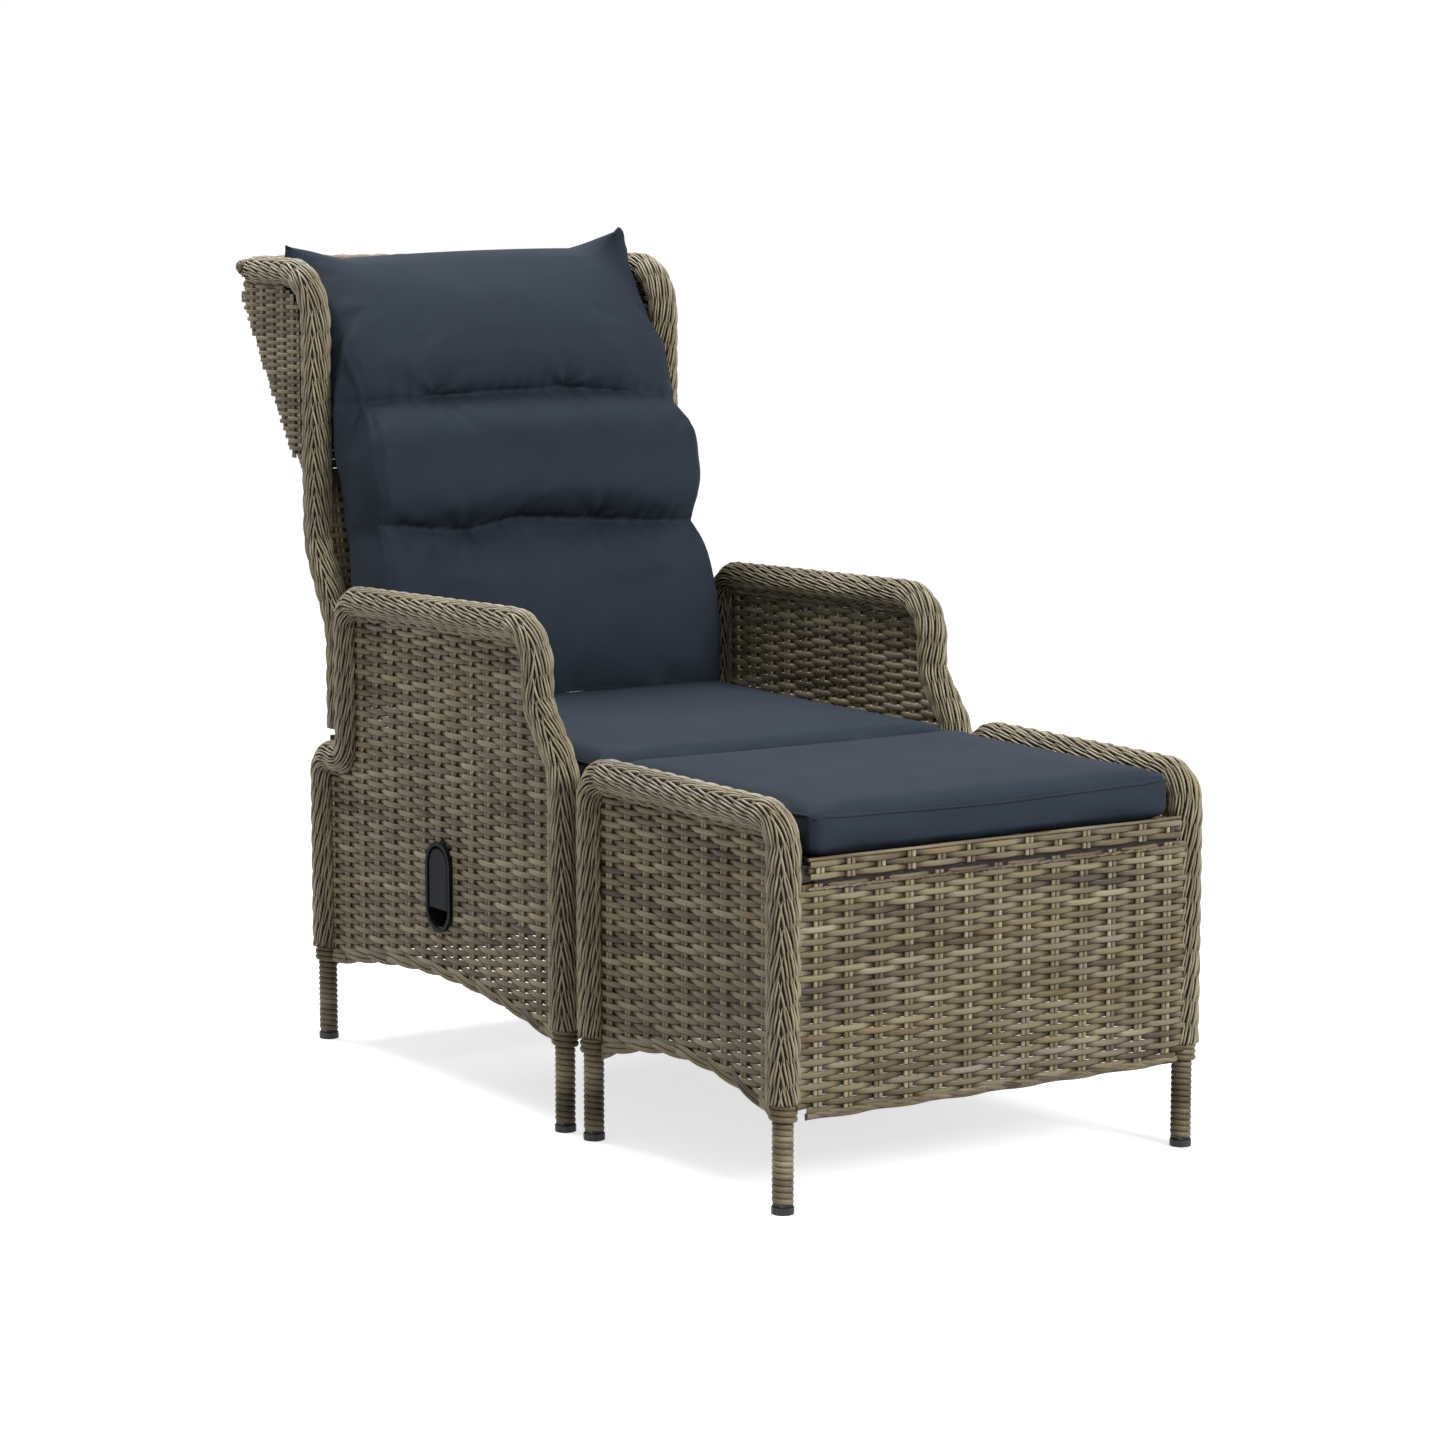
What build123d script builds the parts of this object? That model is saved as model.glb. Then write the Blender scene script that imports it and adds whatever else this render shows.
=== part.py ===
from build123d import *
import cmath
import math
import os

os.makedirs("parts", exist_ok=True)

# A reclining garden armchair in woven wicker over a steel frame, with its footstool.
# Millimetres. The sitter looks along -Y and has the right hand at -X. +Z is up, and
# the origin is on the floor under the middle of the set.

# Tube, wicker and clearances that all pieces share
tube = 16.0                   # outside of the square frame tube
tube_wall = 1.5
roll_radius = 20.0            # the plaited roll round a frame tube
roll_sides = 12
leg_sides = 12
chord_angle = 30.5            # most that a tube turns between two chords of a bend
panel_thickness = 8.4         # of every woven panel
fit_gap = 0.3                 # between pieces that lie against each other
turn_gap = 0.05               # round a pin that turns in its hole
cut_over = 5.0                # overrun of every cut
tube_bore = tube + 2 * fit_gap
tube_hollow = tube - 2 * tube_wall
roll_reach = roll_radius + fit_gap

# Places along Y, from the front of the footstool to the top of the back
stool_leg_span = 392.0
stool_gap = 53.0              # from the stool's rear legs to the chair's front legs
chair_leg_span = 597.0
hinge_inset = 7.0             # of the hinge in front of the rear legs
back_jog = 58.0               # from the hinge back to the upright front of the wing
lean_run = 185.0              # from the front of the wing back to the top of the back
leg_run = stool_leg_span + stool_gap + chair_leg_span
set_depth = 2 * roll_radius + leg_run - hinge_inset + back_jog + lean_run
stool_front_y = roll_radius - set_depth / 2
stool_rear_y = stool_front_y + stool_leg_span
chair_front_y = stool_rear_y + stool_gap
chair_rear_y = chair_front_y + chair_leg_span

# Heights that the chair and the footstool share
glide_height = 8.0
tube_foot_z = glide_height + fit_gap
collar_foot_z = 100.0
roll_foot_z = 122.0
panel_foot_z = 104.0
arch_rise = 32.0              # of the bottom edge of a side panel
arch_chords = 8
stake_pitch = 40.0            # between the pairs of stakes in a woven side
hollow_width = 30.0           # of the hollow where the weavers cross between two pairs
hollow_depth = 2.8
seat_rail_z = 369.0
rail_top_z = seat_rail_z + tube / 2
deck_thickness = 7.0
deck_z = rail_top_z + fit_gap
deck_top_z = deck_z + deck_thickness
cushion_foot_z = deck_top_z + fit_gap

# Side frame of the chair: arm, front curve and the low box behind it
chair_frame_x = 283.0
arm_set_back = 58.0           # of the front of the arm behind the front leg
arm_stop = 68.0               # of the rear edge of the arm in front of the rear leg
curve_foot_z = 428.0
curve_head_z = 496.0
arm_front_z = 588.0
arm_rear_z = 575.0
box_rail_z = 372.0
curve_foot_bend = 60.0
curve_head_bend = 45.0
arm_front_bend = 50.0
arm_rear_bend = 32.0
box_bend = 24.0
arm_bends = [curve_foot_bend, curve_head_bend, arm_front_bend, arm_rear_bend, box_bend, box_bend]

# Side frame of the footstool
stool_frame_x = 276.0
stool_rail_z = 431.0
stool_bend = 34.0
stool_bends = [stool_bend, stool_bend]

# Backrest: the wings stand upright in front of a back that leans away from them
back_frame_x = 262.0
hinge_z = 440.0
back_foot_z = 404.0
back_jog_foot_z = 532.0
back_jog_head_z = 636.0
back_top_z = 980.0
lean_foot_z = 716.0           # where the leaning back leaves the wing
back_jog_bend = 90.0
wing_bend = 62.0
back_bends = [back_jog_bend, back_jog_bend, wing_bend]
hinge_y = chair_rear_y - hinge_inset
wing_y = hinge_y + back_jog
back_top_y = set_depth / 2 - roll_radius

# Wicker and feet on the legs, and the wound seat rails
leg_radius = 12.3
collar_radius = 15.5
glide_radius = 12.6
glide_plug = 12.0
wrap_outer = 18.0             # from the rail's centre to the outside of its wrap
wrap_inner = 12.0
wrap_height = 30.0
wrap_foot_z = seat_rail_z - wrap_height / 2
end_panel_set_out = tube / 2 + fit_gap + panel_thickness / 2

# Seat frames
rail_inset = 37.0             # of a seat rail from the side frame
slat_width = 30.0
slat_thickness = 6.0
deck_stop = 112.0             # of the chair's deck in front of the rear legs
chair_slat_shares = (0.2, 0.37, 0.528, 0.76)
stool_slat_shares = (0.25, 0.5, 0.75)
chair_rail_x = chair_frame_x - rail_inset
stool_rail_x = stool_frame_x - rail_inset
chair_end_half = chair_frame_x - roll_reach
stool_end_half = stool_frame_x - roll_reach

# Seat cushions
pillow_roll = 7.0             # rounding of the top and bottom edges
pillow_crown_inset = 95.0
pillow_draw_share = 0.02      # how far a side bows inwards, of half its length
pillow_corner = 12.0
seat_cushion_half = 255.0
seat_cushion_edge_z = 440.0
seat_cushion_crown_z = 448.0
seat_cushion_over = 33.0      # in front of the front legs
seat_cushion_stop = 97.0      # in front of the rear legs
stool_cushion_half = 252.0
stool_cushion_edge_z = 438.0
stool_cushion_crown_z = 446.0
stool_cushion_over = 18.0     # in front of the stool's front legs
stool_cushion_stop = 13.0     # behind the stool's rear legs

# Back cushion, its channels given as shares of its height and of its thickness
back_cushion_half = 238.0
back_cushion_foot_z = 452.0
back_cushion_over = 20.0      # of the cushion's top above the top of the frame
back_cushion_top_z = back_top_z + back_cushion_over
back_cushion_thickness = 180.0
back_cushion_drop = 42.0      # of its rear top edge below its top
back_cushion_slope = 30.0     # of its rear top edge behind the top's rear
back_channel_shares = ((0, 0.66), (0.18, 0.78), (0.37, 0.56), (0.53, 0.84), (0.675, 0.8), (0.845, 0.96), (1, 0.83))
back_section_shares = ((-1, 0.8), (-0.93, 0.92), (-0.6, 1), (0, 1), (0.6, 1), (0.93, 0.92), (1, 0.8))

# Recline: a gas spring from a bracket under the seat to a lever below the hinge
recline_angle = 35.0
lever_length = 62.0
lever_lean = 12.0             # of the lever in front of straight down, upright pose
spring_front_z = 250.0
spring_front_y = chair_front_y + chair_slat_shares[2] * chair_leg_span
pin_radius = 4.0
pin_head = 3.0
lever_plate_x = 11.0
lever_plate_thickness = 4.0
lever_eye_radius = 11.0
lever_head_width = 26.0
bracket_plate_x = 14.0
bracket_plate_thickness = 4.0
bracket_radius = 13.0
bracket_head = 60.0
bracket_half = bracket_plate_x + bracket_plate_thickness
rod_radius = 5.0
rod_eye_radius = 10.0
release_head_radius = 9.0
release_head_length = 24.0
rod_length = 190.0
cylinder_radius = 11.0
cylinder_start = 110.0
neck_radius = 7.0
neck_length = 45.0
eye_radius = 12.0
eye_ease = 4.0                # round the rear pin
bore_depth = 125.0

# Release handle in the right side of the chair
handle_reach = 291.0          # from the front legs back to the handle
handle_y = chair_front_y + handle_reach
handle_z = 245.0
housing_width = 60.0
housing_height = 112.0
housing_rim = 5.0
housing_wall = 2.0
housing_flange = 3.0
housing_depth = 34.0
cup_width = housing_width - 2 * housing_rim
cup_height = housing_height - 2 * housing_rim
cup_outer_width = cup_width + 2 * housing_wall
cup_outer_height = cup_height + 2 * housing_wall
handle_pin_radius = 2.5
handle_pin_half = 22.0
handle_pin_rise = 39.0        # above the middle of the cup
knuckle_radius = 5.0
knuckle_half = 16.0
paddle_thickness = 4.5
paddle_inset = 3.5            # from the wall of the cup
paddle_sink = 2.0             # behind the face of the woven side
paddle_open_share = 0.24      # of the cup's height, open below the paddle
crank_length = 16.0
crank_thickness = 6.0
cable_radius = 2.5
cable_sides = 8
cable_sag = 14.0

sides = (("right", -1), ("left", 1))
upright = (Align.CENTER, Align.CENTER, Align.MIN)


def bent(points, bends):
    """The points with each corner replaced by chords of a bend of the given radius."""
    corners = [complex(*point) for point in points]
    line = [points[0]]
    for before, corner, after, radius in zip(corners, corners[1:], corners[2:], bends):
        heading = (corner - before) / abs(corner - before)
        turn = cmath.phase((after - corner) / heading)
        start = corner - heading * radius * math.tan(abs(turn) / 2)
        centre = start + heading * math.copysign(radius, turn) * 1j
        chords = math.ceil(abs(turn) / math.radians(chord_angle))
        for step in range(chords + 1):
            place = centre + (start - centre) * cmath.rect(1, turn * step / chords)
            line.append((place.real, place.imag))
    return line + [points[-1]]


def frame_line(x, points, bends):
    """A frame's centre line in the upright plane at x, its points given as (y, z)."""
    with BuildLine(Plane.YZ.offset(x)) as line:
        Polyline(*bent(points, bends))
    return line.line


def arm_points(foot_z):
    """The chair's side frame from the front foot over the arm to the rear foot."""
    arm_front = chair_front_y + arm_set_back
    arm_rear = chair_rear_y - arm_stop
    return [
        (chair_front_y, foot_z),
        (chair_front_y, curve_foot_z),
        (arm_front, curve_head_z),
        (arm_front, arm_front_z),
        (arm_rear, arm_rear_z),
        (arm_rear, box_rail_z),
        (chair_rear_y, box_rail_z),
        (chair_rear_y, foot_z),
    ]


def stool_points(foot_z):
    """The footstool's side frame from the front foot to the rear foot."""
    return [
        (stool_front_y, foot_z),
        (stool_front_y, stool_rail_z),
        (stool_rear_y, stool_rail_z),
        (stool_rear_y, foot_z),
    ]


def back_points(foot_z, end_y):
    """The backrest's side frame from below the hinge to the top of the back."""
    return [
        (hinge_y, foot_z),
        (hinge_y, back_jog_foot_z),
        (wing_y, back_jog_head_z),
        (wing_y, back_top_z),
        (end_y, back_top_z),
    ]


def sweep_tube(line):
    """A square steel tube along a line."""
    with BuildSketch(Plane(origin=line @ 0, x_dir=(1, 0, 0), z_dir=line % 0)) as profile:
        Rectangle(tube, tube)
        Rectangle(tube_hollow, tube_hollow, mode=Mode.SUBTRACT)
    sweep(profile.sketch, path=line, transition=Transition.RIGHT)


def sweep_roll(line):
    """A roll of wicker along a line, with room for the tube inside it."""
    with BuildSketch(Plane(origin=line @ 0, x_dir=(1, 0, 0), z_dir=line % 0)) as profile:
        RegularPolygon(roll_radius, roll_sides)
        Rectangle(tube_bore, tube_bore, mode=Mode.SUBTRACT)
    sweep(profile.sketch, path=line, transition=Transition.RIGHT)


def cross_tubes(places, half_length):
    """Square tubes across the frame, centred on each (y, z)."""
    with Locations(*[(0, y, z) for y, z in places]):
        Box(2 * half_length, tube, tube)
        Box(2 * half_length, tube_hollow, tube_hollow, mode=Mode.SUBTRACT)


def cut_for_cross_tubes(places, x, side):
    """Square holes in a roll at x, from its bore to its inner side."""
    reach = roll_radius + cut_over
    with Locations(*[(x - side * reach / 2, y, z) for y, z in places]):
        Box(reach, tube_bore, tube_bore, mode=Mode.SUBTRACT)


def side_panel_face(points, bends, front_y, rear_y):
    """A woven side inside its frame, clear of the roll and arched below."""
    foot_z = panel_foot_z - roll_reach
    with BuildLine() as outline:
        Polyline(*bent(points(foot_z), bends), close=True)
    make_face(outline.edges())
    offset(amount=-roll_reach, kind=Kind.INTERSECTION)
    half = (rear_y - front_y) / 2 - roll_radius
    arch_radius = (half**2 + arch_rise**2) / (2 * arch_rise)
    arch_half = math.asin(half / arch_radius)
    below = panel_foot_z - cut_over
    arch = [(rear_y - roll_radius, below), (front_y + roll_radius, below)]
    for chord in range(arch_chords + 1):
        swing = arch_half * (2 * chord / arch_chords - 1)
        arch_y = (front_y + rear_y) / 2 + arch_radius * math.sin(swing)
        arch.append((arch_y, panel_foot_z + arch_rise - arch_radius * (1 - math.cos(swing))))
    Polygon(*arch, align=None, mode=Mode.SUBTRACT)


def hollow_between_stakes(x, front_y, rear_y, top_z):
    """Upright hollows in both faces of a woven side, where the weavers cross between the stakes."""
    middle_y = (front_y + rear_y) / 2
    half = (rear_y - front_y) / 2 - roll_reach
    bays = math.floor((half - hollow_width / 2) / stake_pitch + 1 / 2)
    places = [(x, middle_y + (bay + 1 / 2) * stake_pitch) for bay in range(-bays, bays)]
    face_x = panel_thickness / 2
    section = [(face_x - hollow_depth, 0)]
    section += [(face_x, hollow_width / 2), (face_x + cut_over, hollow_width / 2)]
    section += [(face_x + cut_over, -hollow_width / 2), (face_x, -hollow_width / 2)]
    with BuildSketch() as hollows:
        with Locations(*places):
            for face in (-1, 1):
                Polygon(*[(face * across, along) for across, along in section], align=None)
    extrude(hollows.sketch, amount=top_z, mode=Mode.SUBTRACT)


def end_panel(y, half_width, top_z):
    """A woven panel across the frame."""
    with Locations((0, y, panel_foot_z)):
        Box(2 * half_width, panel_thickness, top_z - panel_foot_z, align=upright)


def rail_wrap(y, outward, half_width, rail_x):
    """Wicker wound round a cross tube, deeper outside, with room for the rails behind it."""
    with Locations((0, y + outward * (wrap_outer - wrap_inner) / 2, seat_rail_z)):
        Box(2 * half_width, wrap_outer + wrap_inner, wrap_height)
    with Locations((0, y, seat_rail_z)):
        Box(2 * half_width, tube_bore, tube_bore, mode=Mode.SUBTRACT)
    with Locations(*[(side * rail_x, y - outward * wrap_outer / 2, seat_rail_z) for side in (-1, 1)]):
        Box(tube_bore, wrap_outer, tube_bore, mode=Mode.SUBTRACT)


def seat_rails(x, start_y, end_y):
    """The two tubes that run from front to rear under a seat."""
    with Locations(*[(side * x, (start_y + end_y) / 2, seat_rail_z) for side in (-1, 1)]):
        Box(tube, end_y - start_y, tube)
        Box(tube_hollow, end_y - start_y, tube_hollow, mode=Mode.SUBTRACT)


def seat_slats(x, front_y, span, shares):
    """Flat bars between the rails, level with their tops."""
    slat_z = rail_top_z - slat_thickness / 2
    with Locations(*[(0, front_y + share * span, slat_z) for share in shares]):
        Box(2 * x - tube, slat_width, slat_thickness)


def deck(half_width, front_y, rear_y):
    """The woven deck that a cushion lies on."""
    with Locations((0, (front_y + rear_y) / 2, deck_z)):
        Box(2 * half_width, rear_y - front_y, deck_thickness, align=upright)


def legs(x, front_y, rear_y, foot_z):
    """The four places where legs stand, at height foot_z."""
    return [(side * x, y, foot_z) for side in (-1, 1) for y in (front_y, rear_y)]


def leg_sleeves(places, radius, height):
    """Sleeves of wound wicker on the legs."""
    with BuildSketch() as section:
        RegularPolygon(radius, leg_sides)
        Rectangle(tube_bore, tube_bore, mode=Mode.SUBTRACT)
    for place in places:
        extrude(Location(place) * section.sketch, amount=height)


def glides(places):
    """Plastic feet that plug into the leg tubes."""
    plug = tube_hollow - fit_gap
    with BuildSketch() as section:
        RegularPolygon(glide_radius, leg_sides)
    for place in places:
        extrude(Location(place) * section.sketch, amount=glide_height)
    with Locations(*places):
        Box(plug, plug, glide_height + glide_plug, align=upright)


def pillow_outline(half_x, half_y, middle_y, level_z):
    """A cushion's outline, its sides drawn in between cut corners."""
    rear_y = middle_y + half_y
    front_y = middle_y - half_y
    corners = [(-half_x, front_y), (half_x, front_y), (half_x, rear_y), (-half_x, rear_y)]
    draw_x = pillow_draw_share * half_x
    draw_y = pillow_draw_share * half_y
    bows = [(0, draw_x), (-draw_y, 0), (0, -draw_x), (draw_y, 0)]
    edge = []
    for index, start in enumerate(corners):
        end = corners[(index + 1) % len(corners)]
        middle = ((start[0] + end[0]) / 2 + bows[index][0], (start[1] + end[1]) / 2 + bows[index][1])
        edge += [start, middle]
    with BuildSketch(Plane.XY.offset(level_z)) as outline:
        Polygon(*edge, align=None)
        chamfer(outline.vertices().sort_by_distance((0, middle_y, 0))[-4:], pillow_corner)
    return outline.sketch


def pillow(half_x, front_y, rear_y, edge_z, crown_z):
    """A boxed cushion with broken edges and a crowned top."""
    middle_y = (front_y + rear_y) / 2
    half_y = (rear_y - front_y) / 2
    extrude(pillow_outline(half_x, half_y, middle_y, cushion_foot_z), amount=edge_z - cushion_foot_z)
    ends = faces().sort_by(Axis.Z)
    chamfer(ends[0].edges() + ends[-1].edges(), pillow_roll)
    crown = []
    for level_z, inset in ((edge_z, pillow_roll), (crown_z, pillow_crown_inset)):
        crown.append(pillow_outline(half_x - inset, half_y - inset, middle_y, level_z))
    loft(crown, ruled=True)


def cross_pin(y, z, radius, half_length, mode=Mode.ADD):
    """A cylinder along X, centred on (y, z)."""
    with Locations(Location((0, y, z), (0, 90, 0))):
        Cylinder(radius, 2 * half_length, mode=mode)


def handle_pin(radius, half_length, mode=Mode.ADD):
    """A cylinder along Y on the axis that the release handle turns about."""
    with Locations(Location((-chair_frame_x, handle_y, handle_z + handle_pin_rise), (90, 0, 0))):
        Cylinder(radius, 2 * half_length, mode=mode)


def oval(x, width, height, depth, mode=Mode.ADD):
    """An upright oval on the release handle's centre, from x inwards by depth."""
    with BuildSketch(Plane.YZ.offset(x)) as outline:
        with Locations((handle_y, handle_z)):
            SlotOverall(height, width, rotation=90)
    extrude(outline.sketch, amount=depth, mode=mode)


def finish(piece, name):
    """Label a piece and write its file."""
    piece.part.label = name
    export_step(piece.part, f"parts/{name}.step")


# Side frames and their plaited rolls
chair_front_rail = [(chair_front_y, seat_rail_z)]
chair_rear_tube = [(chair_rear_y, seat_rail_z - tube)]
stool_rail_places = [(stool_front_y, seat_rail_z), (stool_rear_y, seat_rail_z)]

for hand, side in sides:
    with BuildPart() as side_frame:
        sweep_tube(frame_line(side * chair_frame_x, arm_points(tube_foot_z), arm_bends))
    finish(side_frame, f"side_frame_{hand}")

    with BuildPart() as arm_roll:
        sweep_roll(frame_line(side * chair_frame_x, arm_points(roll_foot_z), arm_bends))
        cut_for_cross_tubes(chair_front_rail + chair_rear_tube, side * chair_frame_x, side)
    finish(arm_roll, f"arm_roll_{hand}")

    with BuildPart() as stool_frame:
        sweep_tube(frame_line(side * stool_frame_x, stool_points(tube_foot_z), stool_bends))
    finish(stool_frame, f"stool_frame_{hand}")

    with BuildPart() as stool_roll:
        sweep_roll(frame_line(side * stool_frame_x, stool_points(roll_foot_z), stool_bends))
        cut_for_cross_tubes(stool_rail_places, side * stool_frame_x, side)
    finish(stool_roll, f"stool_roll_{hand}")

# Woven sides, the chair's right one with an oval hole for the release handle
for hand, side in sides:
    with BuildPart() as side_panel:
        with BuildSketch(Plane.YZ.offset(side * chair_frame_x)):
            side_panel_face(arm_points, arm_bends, chair_front_y, chair_rear_y)
        extrude(amount=panel_thickness / 2, both=True)
        hollow_between_stakes(side * chair_frame_x, chair_front_y, chair_rear_y, arm_front_z)
        if hand == "right":
            hole_width = cup_outer_width + 2 * fit_gap
            hole_height = cup_outer_height + 2 * fit_gap
            hole_start_x = -chair_frame_x - panel_thickness / 2 - cut_over
            oval(hole_start_x, hole_width, hole_height, panel_thickness + 2 * cut_over, Mode.SUBTRACT)
    finish(side_panel, f"side_panel_{hand}")

    with BuildPart() as stool_side_panel:
        with BuildSketch(Plane.YZ.offset(side * stool_frame_x)):
            side_panel_face(stool_points, stool_bends, stool_front_y, stool_rear_y)
        extrude(amount=panel_thickness / 2, both=True)
        hollow_between_stakes(side * stool_frame_x, stool_front_y, stool_rear_y, stool_rail_z)
    finish(stool_side_panel, f"stool_side_panel_{hand}")

# Woven fronts and rears, and the wound rails above them
with BuildPart() as front_panel:
    end_panel(chair_front_y - end_panel_set_out, chair_end_half, wrap_foot_z - fit_gap)
finish(front_panel, "front_panel")

with BuildPart() as rear_panel:
    end_panel(chair_rear_y + end_panel_set_out, chair_end_half, deck_top_z)
finish(rear_panel, "rear_panel")

with BuildPart() as front_rail_wrap:
    rail_wrap(chair_front_y, -1, chair_end_half, chair_rail_x)
finish(front_rail_wrap, "front_rail_wrap")

with BuildPart() as stool_front_panel:
    end_panel(stool_front_y - end_panel_set_out, stool_end_half, wrap_foot_z - fit_gap)
finish(stool_front_panel, "stool_front_panel")

with BuildPart() as stool_rear_panel:
    end_panel(stool_rear_y + end_panel_set_out, stool_end_half, wrap_foot_z - fit_gap)
finish(stool_rear_panel, "stool_rear_panel")

with BuildPart() as stool_rail_wraps:
    rail_wrap(stool_front_y, -1, stool_end_half, stool_rail_x)
    rail_wrap(stool_rear_y, 1, stool_end_half, stool_rail_x)
finish(stool_rail_wraps, "stool_rail_wraps")

# Cross tubes, seat rails, slats and the woven decks that carry the cushions
with BuildPart() as seat_cross_tubes:
    cross_tubes(chair_front_rail + chair_rear_tube, chair_frame_x - tube / 2)
finish(seat_cross_tubes, "seat_cross_tubes")

with BuildPart() as stool_cross_tubes:
    cross_tubes(stool_rail_places, stool_frame_x - tube / 2)
finish(stool_cross_tubes, "stool_cross_tubes")

with BuildPart() as chair_seat_rails:
    seat_rails(chair_rail_x, chair_front_y + tube / 2, chair_rear_y + tube / 2)
finish(chair_seat_rails, "seat_rails")

with BuildPart() as stool_seat_rails:
    seat_rails(stool_rail_x, stool_front_y + tube / 2, stool_rear_y - tube / 2)
finish(stool_seat_rails, "stool_seat_rails")

with BuildPart() as chair_slats:
    seat_slats(chair_rail_x, chair_front_y, chair_leg_span, chair_slat_shares)
finish(chair_slats, "seat_slats")

with BuildPart() as stool_slats:
    seat_slats(stool_rail_x, stool_front_y, stool_leg_span, stool_slat_shares)
finish(stool_slats, "stool_slats")

deck_inset = wrap_inner + fit_gap

with BuildPart() as seat_deck:
    deck(chair_end_half, chair_front_y + deck_inset, chair_rear_y - deck_stop)
finish(seat_deck, "seat_deck")

with BuildPart() as stool_deck:
    deck(stool_end_half, stool_front_y + deck_inset, stool_rear_y - deck_inset)
finish(stool_deck, "stool_deck")

# Legs of both pieces: wound sleeves, collars under the rolls and plastic glides
leg_places = (
    ("", chair_frame_x, chair_front_y, chair_rear_y),
    ("stool_", stool_frame_x, stool_front_y, stool_rear_y),
)
for owner, frame_x, front_y, rear_y in leg_places:
    with BuildPart() as leg_wraps:
        places = legs(frame_x, front_y, rear_y, tube_foot_z)
        leg_sleeves(places, leg_radius, collar_foot_z - tube_foot_z)
    finish(leg_wraps, f"{owner}leg_wraps")

    with BuildPart() as leg_collars:
        places = legs(frame_x, front_y, rear_y, collar_foot_z + fit_gap)
        leg_sleeves(places, collar_radius, roll_foot_z - collar_foot_z - 2 * fit_gap)
    finish(leg_collars, f"{owner}leg_collars")

    with BuildPart() as foot_glides:
        glides(legs(frame_x, front_y, rear_y, 0))
    finish(foot_glides, f"{owner}foot_glides")

# Seat cushions of the chair and the footstool
with BuildPart() as seat_cushion:
    cushion_front_y = chair_front_y - seat_cushion_over
    cushion_rear_y = chair_rear_y - seat_cushion_stop
    pillow(seat_cushion_half, cushion_front_y, cushion_rear_y, seat_cushion_edge_z, seat_cushion_crown_z)
finish(seat_cushion, "seat_cushion")

with BuildPart() as stool_cushion:
    cushion_front_y = stool_front_y - stool_cushion_over
    cushion_rear_y = stool_rear_y + stool_cushion_stop
    pillow(stool_cushion_half, cushion_front_y, cushion_rear_y, stool_cushion_edge_z, stool_cushion_crown_z)
finish(stool_cushion, "stool_cushion")

# Slopes of the backrest: steep below the wings, leaning behind them
lean_rise = back_top_z - lean_foot_z
lean_length = math.hypot(lean_run, lean_rise)
lean_sin = lean_run / lean_length
lean_cos = lean_rise / lean_length
lower_cross_lift = 26.0       # of the lower cross tube above the hinge
lower_cross_z = hinge_z + lower_cross_lift
lower_rise = lean_foot_z - lower_cross_z
lower_length = math.hypot(back_jog, lower_rise)
lower_sin = back_jog / lower_length
lower_cos = lower_rise / lower_length


def lean_plane(x, along):
    """The plane square to the leaning back at x, this far up from its foot."""
    origin = (x, wing_y + along * lean_sin, lean_foot_z + along * lean_cos)
    return Plane(origin=origin, x_dir=(1, 0, 0), z_dir=(0, lean_sin, lean_cos))


# Backrest frame: side tubes, a leaning tube behind each wing, and three cross tubes
edge_wrap = 22.0              # width of the wicker wound round the leaning tube
boss_radius = 7.0
bolt_radius = 5.0
bolt_hole_radius = bolt_radius + turn_gap
back_outer_x = back_frame_x + tube / 2
boss_inner_x = back_frame_x - roll_radius + fit_gap
edge_wrap_start = (roll_reach + edge_wrap / 2 * lean_cos) / lean_sin
edge_wrap_end = lean_length - (roll_reach + edge_wrap / 2 * lean_sin) / lean_cos
lean_tube_end = lean_length - (tube / 2 - tube_wall + tube / 2 * lean_sin) / lean_cos
back_middle_tubes = [(hinge_y, lower_cross_z), (wing_y, lean_foot_z)]

for hand, side in sides:
    x = side * back_frame_x
    with BuildPart() as back_side_tube:
        sweep_tube(frame_line(x, back_points(back_foot_z + fit_gap, back_top_y - tube / 2), back_bends))
        with BuildSketch(lean_plane(x, tube / 2)):
            Rectangle(tube, tube)
        extrude(amount=lean_tube_end - tube / 2)
        with BuildSketch(Plane.YZ.offset(side * back_outer_x)):
            with Locations((hinge_y, hinge_z)):
                Circle(boss_radius)
        extrude(amount=side * (boss_inner_x - back_outer_x))
        cross_pin(hinge_y, hinge_z, bolt_hole_radius, back_frame_x + roll_radius, Mode.SUBTRACT)
    finish(back_side_tube, f"back_side_tube_{hand}")

    with BuildPart() as back_roll:
        sweep_roll(frame_line(x, back_points(back_foot_z, back_top_y - roll_reach), back_bends))
        cut_for_cross_tubes(back_middle_tubes, x, side)
        cross_pin(hinge_y, hinge_z, boss_radius + fit_gap, back_frame_x, Mode.SUBTRACT)
        with BuildSketch(lean_plane(x, 0)):
            Rectangle(tube_bore, tube_bore)
        extrude(amount=lean_length, mode=Mode.SUBTRACT)
    finish(back_roll, f"back_roll_{hand}")

with BuildPart() as back_cross_tubes:
    cross_tubes(back_middle_tubes, back_frame_x - tube / 2)
    cross_tubes([(back_top_y, back_top_z)], back_outer_x)
finish(back_cross_tubes, "back_cross_tubes")

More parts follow.
